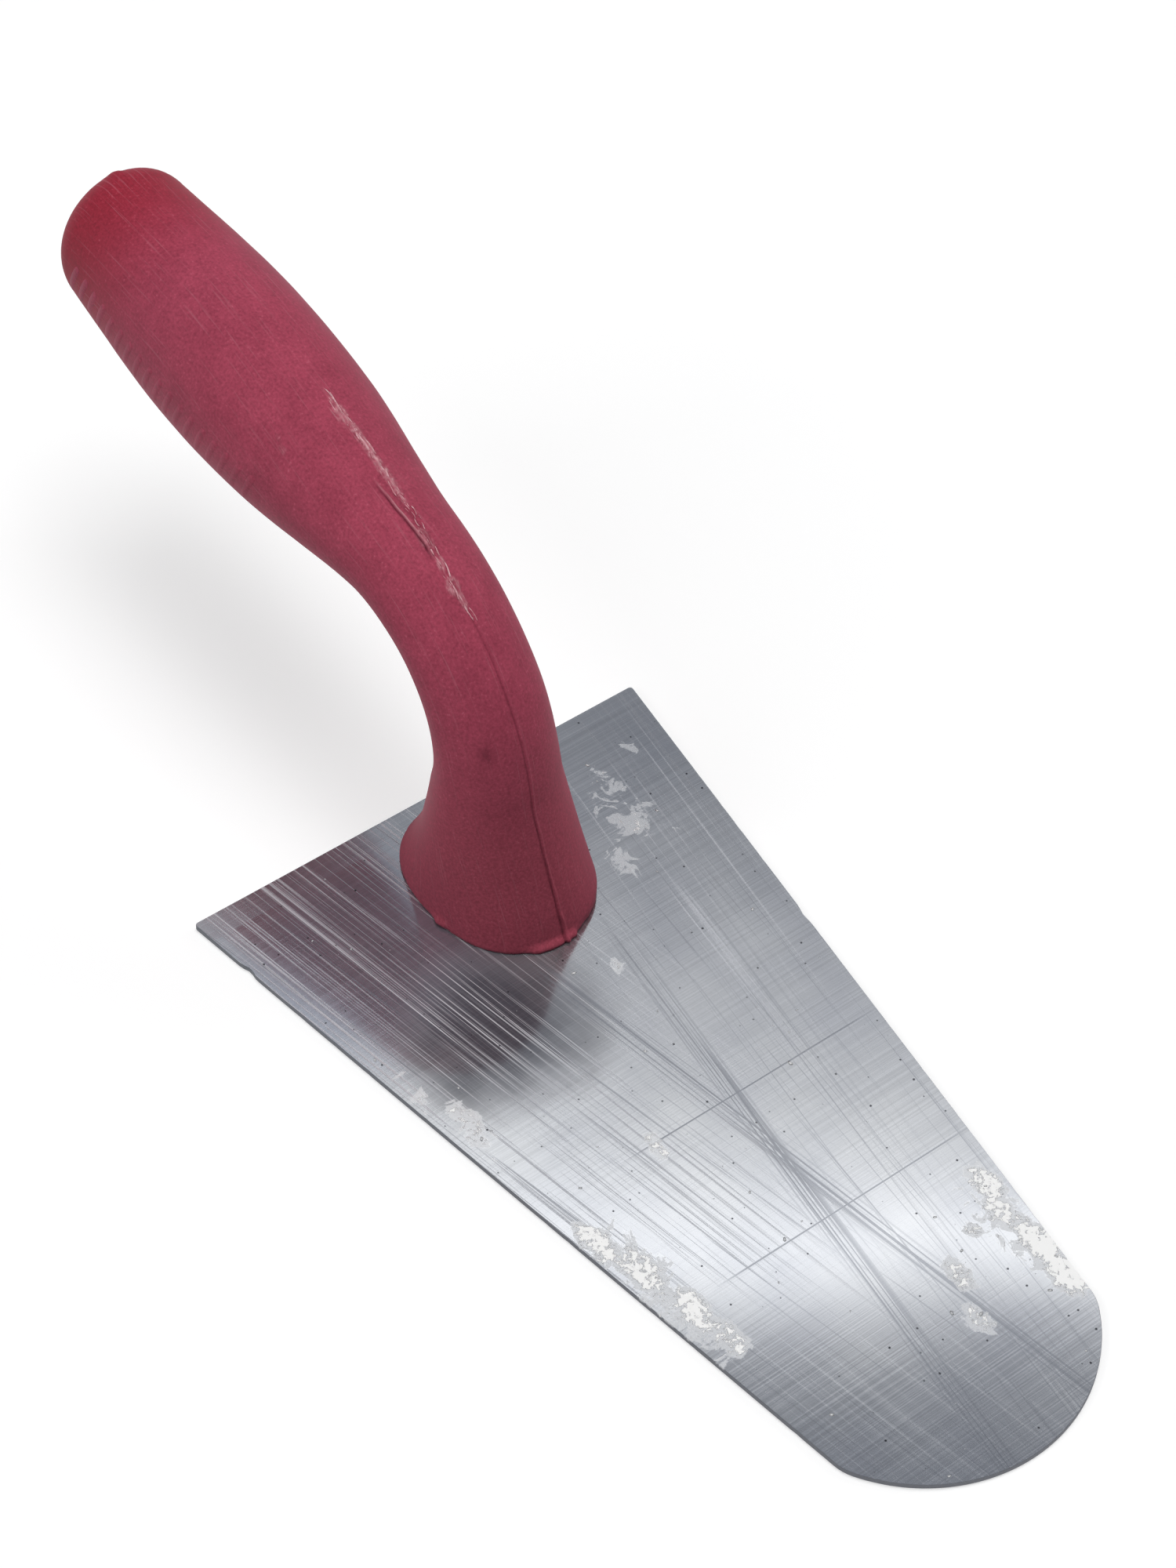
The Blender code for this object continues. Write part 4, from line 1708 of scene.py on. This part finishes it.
@dataclass
class FlashSlivers(Grown):
    """Slivers of torn flash that still hang on the seam.

    Attributes:
        grip: The grip, which knows where the flash was torn.
        count: Slivers along the scar.
        length: Of a sliver.
        radius: Of a sliver's section.
        spread: How far slivers lie beside the scar's middle.
        lift: How far they lie above the plain form.
        seed: Of the random sizes and turns.
        steps: Of the rail that they follow.
    """

    grip: MouldedGrip
    count: int = 64
    length: float = 3.2 * MM
    radius: float = 0.14 * MM
    spread: float = 0.7 * MM
    lift: float = 0.10 * MM
    seed: int = 11
    steps: int = 120

    def nodes(self, node: Adder, given: Any) -> Node:
        """Scatters bent slivers along a rail.

        Args:
            node: Adds a node to the tree.
            given: The tree's inputs by name.

        Returns:
            The node whose geometry has grown.
        """
        path = node("MeshToCurve", given["Geometry"])
        spots = node("ResampleCurve", {"Curve": path, "Count": given["Count"]})
        aligned = node("AlignRotationToVector", {"Vector": node("InputTangent")}, axis="X")
        kept = node("StoreNamedAttribute", spots, {"Name": "lie", "Value": aligned}, data_type="QUATERNION")
        reach, twist = (
            node("RandomValue", low, high, {"Seed": given["Seed"]}, data_type="FLOAT_VECTOR")
            for low, high in (
                ((0.0, -1.0, -0.15), (0.0, 1.0, 0.25)), ((-1.2, -0.10, -0.25), (1.2, 0.10, 0.25)),
            )
        )
        aside = node("VectorMath", reach, {"Scale": given["Spread"]}, operation="SCALE")
        moved = node("SetPosition", kept, {"Offset": aside})

        # One sliver: a shallow bow that tapers at both ends
        ends = {"Start": (-0.5, 0.0, 0.0), "End": (0.5, -0.05, 0.02)}
        bow = node("CurveQuadraticBezier", {**ends, "Middle": (0.0, 0.10, 0.09), "Resolution": 6})
        sliver = tapered(node, bow, join(node, "DIVIDE", given["Radius"], given["Length"]), 5, 1.03, 4.0)

        lie = node("InputNamedAttribute", {"Name": "lie"}, data_type="QUATERNION")
        turned = node(
            "RotateRotation", {"Rotation": lie, "Rotate By": node("EulerToRotation", twist)},
            rotation_space="LOCAL",
        )
        size = node("RandomValue", {2: 0.3, 3: 1.25, "Seed": given["Seed"]}, data_type="FLOAT")
        scale = join(node, "MULTIPLY", size, given["Length"])
        laid = {"Rotation": turned, "Scale": scale}
        return node("InstanceOnPoints", {"Points": moved, "Instance": sliver, **laid})

    def dress(self, material: Material) -> None:
        """Grows the slivers along the scar.

        Args:
            material: Of torn plastic.
        """
        grip, form = self.grip, self.grip.form
        points = []
        start, end = grip.torn_from + 1.0, grip.torn_to - 5.0
        for i in range(self.steps + 1):
            place = start + (end - start) * i / self.steps
            offset = through(grip.tear_path, place) + grip.scar_middle(place)
            angle = math.asin(offset * MM / form.section(place * MM)[1])
            points.append(form.surface(place * MM, angle) + Vector((0.0, 0.0, self.lift)))
        values = {
            "Count": self.count,
            "Length": self.length,
            "Radius": self.radius,
            "Spread": self.spread,
            "Seed": self.seed,
            "Material": material,
        }
        self.grow("seam_flash_slivers", rail("seam_rail", points), Slot.GRIP, values)


@dataclass
class MortarFlecks(Grown):
    """Flecks of dry mortar scattered on the blade's upper face.

    Attributes:
        blade: The sheet that they lie on.
        density: Flecks for each square metre where they lie thickest.
        size: Of a fleck, across.
        flatness: A fleck's height as a share of its width.
        seed: Of the random places, sizes and turns.
    """

    blade: BladeSheet
    density: float = 130000.0
    size: float = 0.50 * MM
    flatness: float = 0.05
    seed: int = 5

    def ground(self) -> Mesh:
        """Makes the sheet that the flecks are scattered on, with how thick they lie.

        Returns:
            A grid a little inside the blade's outline.
        """
        # Every third row, from past the heel corner to short of the tip
        outline = self.blade.half_outline()[4:-1:3]
        across = [j / 20 - 1 for j in range(41)]
        verts, faces, thick = [], [], []
        for p in outline:
            for v in across:
                x, y = p.x - 0.4 * MM, v * (p.y - 0.9 * MM)
                verts.append((x, y, self.blade.top(x, y)))
                clear = smooth_step(23 * MM, 26 * MM, math.hypot(x, 1.3 * y))
                cloud = max(0.0, wobble(x / (22 * MM), y / (18 * MM), 8.0))
                beside_film = max(0.0, self.blade.residue(x, y) - 0.44)
                thick.append(clear * min(1.0, 0.035 + 0.25 * cloud**2 + 1.1 * beside_film))
        for i in range(len(outline) - 1):
            for j in range(len(across) - 1):
                a, b = i * len(across) + j, (i + 1) * len(across) + j
                faces.append((a, b, b + 1, a + 1))
        mesh = bpy.data.meshes.new("fleck_ground")
        mesh.from_pydata(verts, [], faces)
        store_floats(mesh, Layer.FLECKS, thick)
        return mesh

    def nodes(self, node: Adder, given: Any) -> Node:
        """Scatters flat flecks over a sheet.

        Args:
            node: Adds a node to the tree.
            given: The tree's inputs by name.

        Returns:
            The node whose geometry has grown.
        """
        seed = {"Seed": given["Seed"]}
        thick = node("InputNamedAttribute", {"Name": Layer.FLECKS.value}, data_type="FLOAT")
        packed = join(node, "MULTIPLY", thick, given["Density"])
        spots = node("DistributePointsOnFaces", {"Mesh": given["Geometry"], "Density": packed, **seed})
        crumb = node("MeshIcoSphere", {"Radius": 0.5, "Subdivisions": 1})
        lumps = node("TexNoise", {"Vector": node("InputPosition"), "Scale": 1.9, "Detail": 2.0})
        centred = node("VectorMath", lumps.outputs["Color"], (0.5, 0.5, 0.5), operation="SUBTRACT")
        pushed = node("VectorMath", centred, {"Scale": 0.9}, operation="SCALE")
        lumpy = node("SetPosition", crumb, {"Offset": pushed})
        turn = node("RandomValue", (0.0, 0.0, 0.0), (0.0, 0.0, 6.28), seed, data_type="FLOAT_VECTOR")
        # Most flecks are small
        luck = node("RandomValue", {2: 0.0, 3: 1.0, **seed}, data_type="FLOAT")
        skewed = join(node, "POWER", luck, 3.0)
        share = node("MapRange", skewed, 0.0, 1.0, 0.35, 2.6)
        wide = join(node, "MULTIPLY", share, given["Size"])
        narrow = join(node, "MULTIPLY", wide, 0.62)
        flat = join(node, "MULTIPLY", given["Size"], given["Flatness"])
        scale = node("CombineXYZ", wide, narrow, flat)
        laid = {"Rotation": turn, "Scale": scale}
        return node("InstanceOnPoints", {"Points": spots, "Instance": lumpy, **laid})

    def dress(self, material: Material) -> None:
        """Scatters the flecks.

        Args:
            material: Of dry mortar.
        """
        values = {
            "Density": self.density,
            "Size": self.size,
            "Flatness": self.flatness,
            "Seed": self.seed,
            "Material": material,
        }
        self.grow("mortar_flecks", self.ground(), Slot.BLADE, values)


@dataclass
class HiddenSteel:
    """The steel inside the grip, which keeps its CAD shape."""

    bars: tuple[str, ...] = ("tang", "foot_plate")
    welds: tuple[str, ...] = ("foot_weld", "tang_weld")

    def dress(self) -> None:
        """Gives each CAD node its finish."""
        for names, finish in ((self.bars, BAR_SCALE), (self.welds, WELD_BEAD)):
            material = finish.material()
            for name in names:
                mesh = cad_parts[name].data
                mesh.materials.clear()
                mesh.materials.append(material)
                LOG.info("%s: dressed in %s", name, finish.name)


@dataclass
class Studio:
    """A white table under a grey studio with one long soft light, and the camera.

    Attributes:
        eye: The camera's place.
        target: The point that it looks at.
        roll: Its turn about its own axis, in radians.
        lens: Focal length in millimetres, on a sensor 36 mm wide.
        floor_size: Side of the table.
        floor_height: Of the table's top.
        floor_colour: sRGB hex of the table.
        floor_glow: Share of the table's white near the object that doesn't depend on the light.
        dim: sRGB hex of the studio's tint away from the light.
        light_bands: Place above the camera's mirrored axis, as a tangent, and brightness.
        fill: Share of the studio's light that falls on surfaces that don't mirror it.
        lamp_distance: From the object to each lamp.
        lamp_size: Side of each lamp.
        lamps: Name, direction from the object and watts of each lamp.
    """

    eye: Vector = field(default_factory=lambda: Vector((0.36592, -0.27505, 0.55275)))
    target: Vector = field(default_factory=lambda: Vector((-0.010152, 0.029900, 0.0)))
    roll: float = math.radians(2.312)
    lens: float = 86.4
    floor_size: float = 6.0
    floor_height: float = -0.3 * MM
    floor_colour: str = "#c4c4c4"
    floor_glow: float = 0.50
    dim: str = "#a0a6b4"
    light_bands: tuple[Point2, ...] = (
        (-0.300, 0.60),
        (-0.178, 0.63),
        (-0.160, 0.67),
        (-0.150, 0.70),
        (-0.140, 1.02),
        (-0.131, 2.10),
        (-0.122, 2.60),
        (-0.110, 1.60),
        (-0.098, 1.20),
        (-0.080, 1.03),
        (-0.060, 0.96),
        (-0.038, 0.86),
        (-0.010, 0.72),
        (0.020, 0.64),
        (0.150, 0.60),
    )
    fill: float = 0.115
    lamp_distance: float = 2.5
    lamp_size: float = 1.4
    lamps: tuple[tuple[str, tuple[float, float, float], float], ...] = (
        ("top_lamp", (0.05, 0.05, 1.0), 42.0),
        ("rear_left_lamp", (-0.40, -0.80, 0.45), 2.0),
        ("left_lamp", (-0.10, -0.75, 0.65), 19.0),
        ("right_lamp", (0.15, 0.85, 0.55), 14.0),
    )

    def axes(self) -> tuple[Vector, Vector, Vector]:
        """Finds the camera's directions.

        Returns:
            Right, up and forward.
        """
        forward = (self.target - self.eye).normalized()
        right = forward.cross(Vector((0.0, 0.0, 1.0))).normalized()
        up = right.cross(forward)
        turn = math.cos(self.roll), math.sin(self.roll)
        return right * turn[0] + up * turn[1], up * turn[0] - right * turn[1], forward

    def camera(self) -> None:
        """Sets the camera at the photograph's viewing angle."""
        right, up, forward = self.axes()
        data = bpy.data.cameras.new("camera")
        data.lens = self.lens
        data.sensor_width = 36.0
        data.clip_start = 0.01
        data.clip_end = 50.0
        obj = new_object("camera", data)
        turn = Matrix((right, up, -forward)).transposed().to_4x4()
        obj.matrix_world = Matrix.Translation(self.eye) @ turn
        bpy.context.scene.camera = obj

    def floor(self) -> None:
        """Lays the white table, which keeps the object's shadow."""
        half = self.floor_size / 2
        corners = [(x * half, y * half, self.floor_height) for x, y in ((-1, -1), (1, -1), (1, 1), (-1, 1))]
        mesh = bpy.data.meshes.new("table")
        mesh.from_pydata(corners, [], [(0, 1, 2, 3)])
        material = bpy.data.materials.new("white_table")
        node = emptied(material)
        # The glow shows to rays that are seen, mirrored or let through, and lights nothing
        path = node("LightPath").outputs
        seen = join(
            node, "MAXIMUM", path["Is Glossy Ray"], path["Is Transmission Ray"], path["Is Camera Ray"]
        )
        away = node("VectorMath", node("TexCoord").outputs["Object"], operation="LENGTH")
        level = node("MapRange", away, 0.7, 2.2, self.floor_glow, 1.0)
        glow = node("Emission", {"Color": WHITE, "Strength": join(node, "MULTIPLY", seen, level)})
        matt = node("BsdfDiffuse", {"Color": srgb(self.floor_colour)})
        node("OutputMaterial", {"Surface": node("AddShader", matt, glow)})
        new_object("table", mesh, material)

    def world(self) -> None:
        """Lights the studio: dim walls, white near the table, and a long soft light above and behind."""
        world = bpy.data.worlds.new("studio")
        bpy.context.scene.world = world
        node = emptied(world)
        _, up, forward = (Vector((v.x, v.y, -v.z)) for v in self.axes())
        look = node("TexCoord").outputs["Generated"]
        ahead, above = (node("VectorMath", look, way, operation="DOT_PRODUCT") for way in (forward, up))
        facing = join(node, "MAXIMUM", ahead, 0.05)
        place = join(node, "DIVIDE", above, facing)
        low, high = self.light_bands[0][0], self.light_bands[-1][0]
        ramp = node("ValToRGB", node("MapRange", place, low, high))
        elements = ramp.color_ramp.elements
        while len(elements) < len(self.light_bands):
            elements.new(0.5)
        tint = srgb(self.dim)
        peak = max(tint)
        brightest = max(level for _, level in self.light_bands)
        for element, (where, level) in zip(elements, self.light_bands):
            white = smooth_step(0.4, 1.2, level)
            element.position = (where - low) / (high - low)
            shade = [level / brightest * (white + (1 - white) * tint[c] / peak) for c in range(3)]
            element.color = (*shade, 1.0)

        # White near the table, for what is mirrored; white everywhere for what the camera sees
        path = node("LightPath").outputs
        height = node("SeparateXYZ", look).outputs[2]
        low_sky = node("MapRange", height, 0.55, 0.15, **SMOOTH)
        mirrored = join(node, "MULTIPLY", low_sky, path["Is Glossy Ray"])
        plain = join(node, "MAXIMUM", mirrored, path["Is Camera Ray"], path["Is Transmission Ray"])
        level = node("MapRange", path["Is Glossy Ray"], 0.0, 1.0, brightest * self.fill, brightest)
        studio = node("Background", {"Color": ramp, "Strength": level})
        backdrop = node("Background", {"Color": WHITE, "Strength": 1.0})
        node("OutputWorld", {"Surface": node("MixShader", plain, studio, backdrop)})

    def lamp(self, name: str, toward: Vector, power: float) -> None:
        """Hangs one soft square lamp that faces the object.

        Args:
            name: The lamp's name.
            toward: Direction from the object to the lamp.
            power: In watts.
        """
        data = bpy.data.lights.new(name, "AREA")
        data.shape = "SQUARE"
        data.size = self.lamp_size
        data.energy = power
        obj = new_object(name, data)
        aim = toward.normalized()
        turn = aim.to_track_quat("Z", "Y").to_matrix().to_4x4()
        obj.matrix_world = Matrix.Translation(aim * self.lamp_distance) @ turn
        # The blade mirrors the soft studio and not the small lamps, so it clips from no side
        obj.visible_glossy = False

    def dress(self) -> None:
        """Sets up the camera, the table, the world and the lamps."""
        self.camera()
        self.floor()
        self.world()
        for name, toward, power in self.lamps:
            self.lamp(name, Vector(toward), power)
        bpy.context.scene.view_settings.view_transform = "Standard"


def main() -> None:
    """Sets up the studio, then builds the trowel's pieces."""
    logging.basicConfig(level=logging.INFO, format="%(name)s: %(message)s")
    Studio().dress()
    blade = BladeSheet()
    blade.dress(GroundBladeSteel())
    MortarFlecks(blade).dress(DRY_MORTAR.material())
    form = GripForm()
    grip = MouldedGrip(form)
    plastic = MouldedRedPlastic().material()
    shell = grip.dress(plastic)
    SideRibs(form).dress(shell, plastic)
    FlashSlivers(grip).dress(TORN_PLASTIC.material())
    HiddenSteel().dress()


if __name__ == "__main__":
    main()
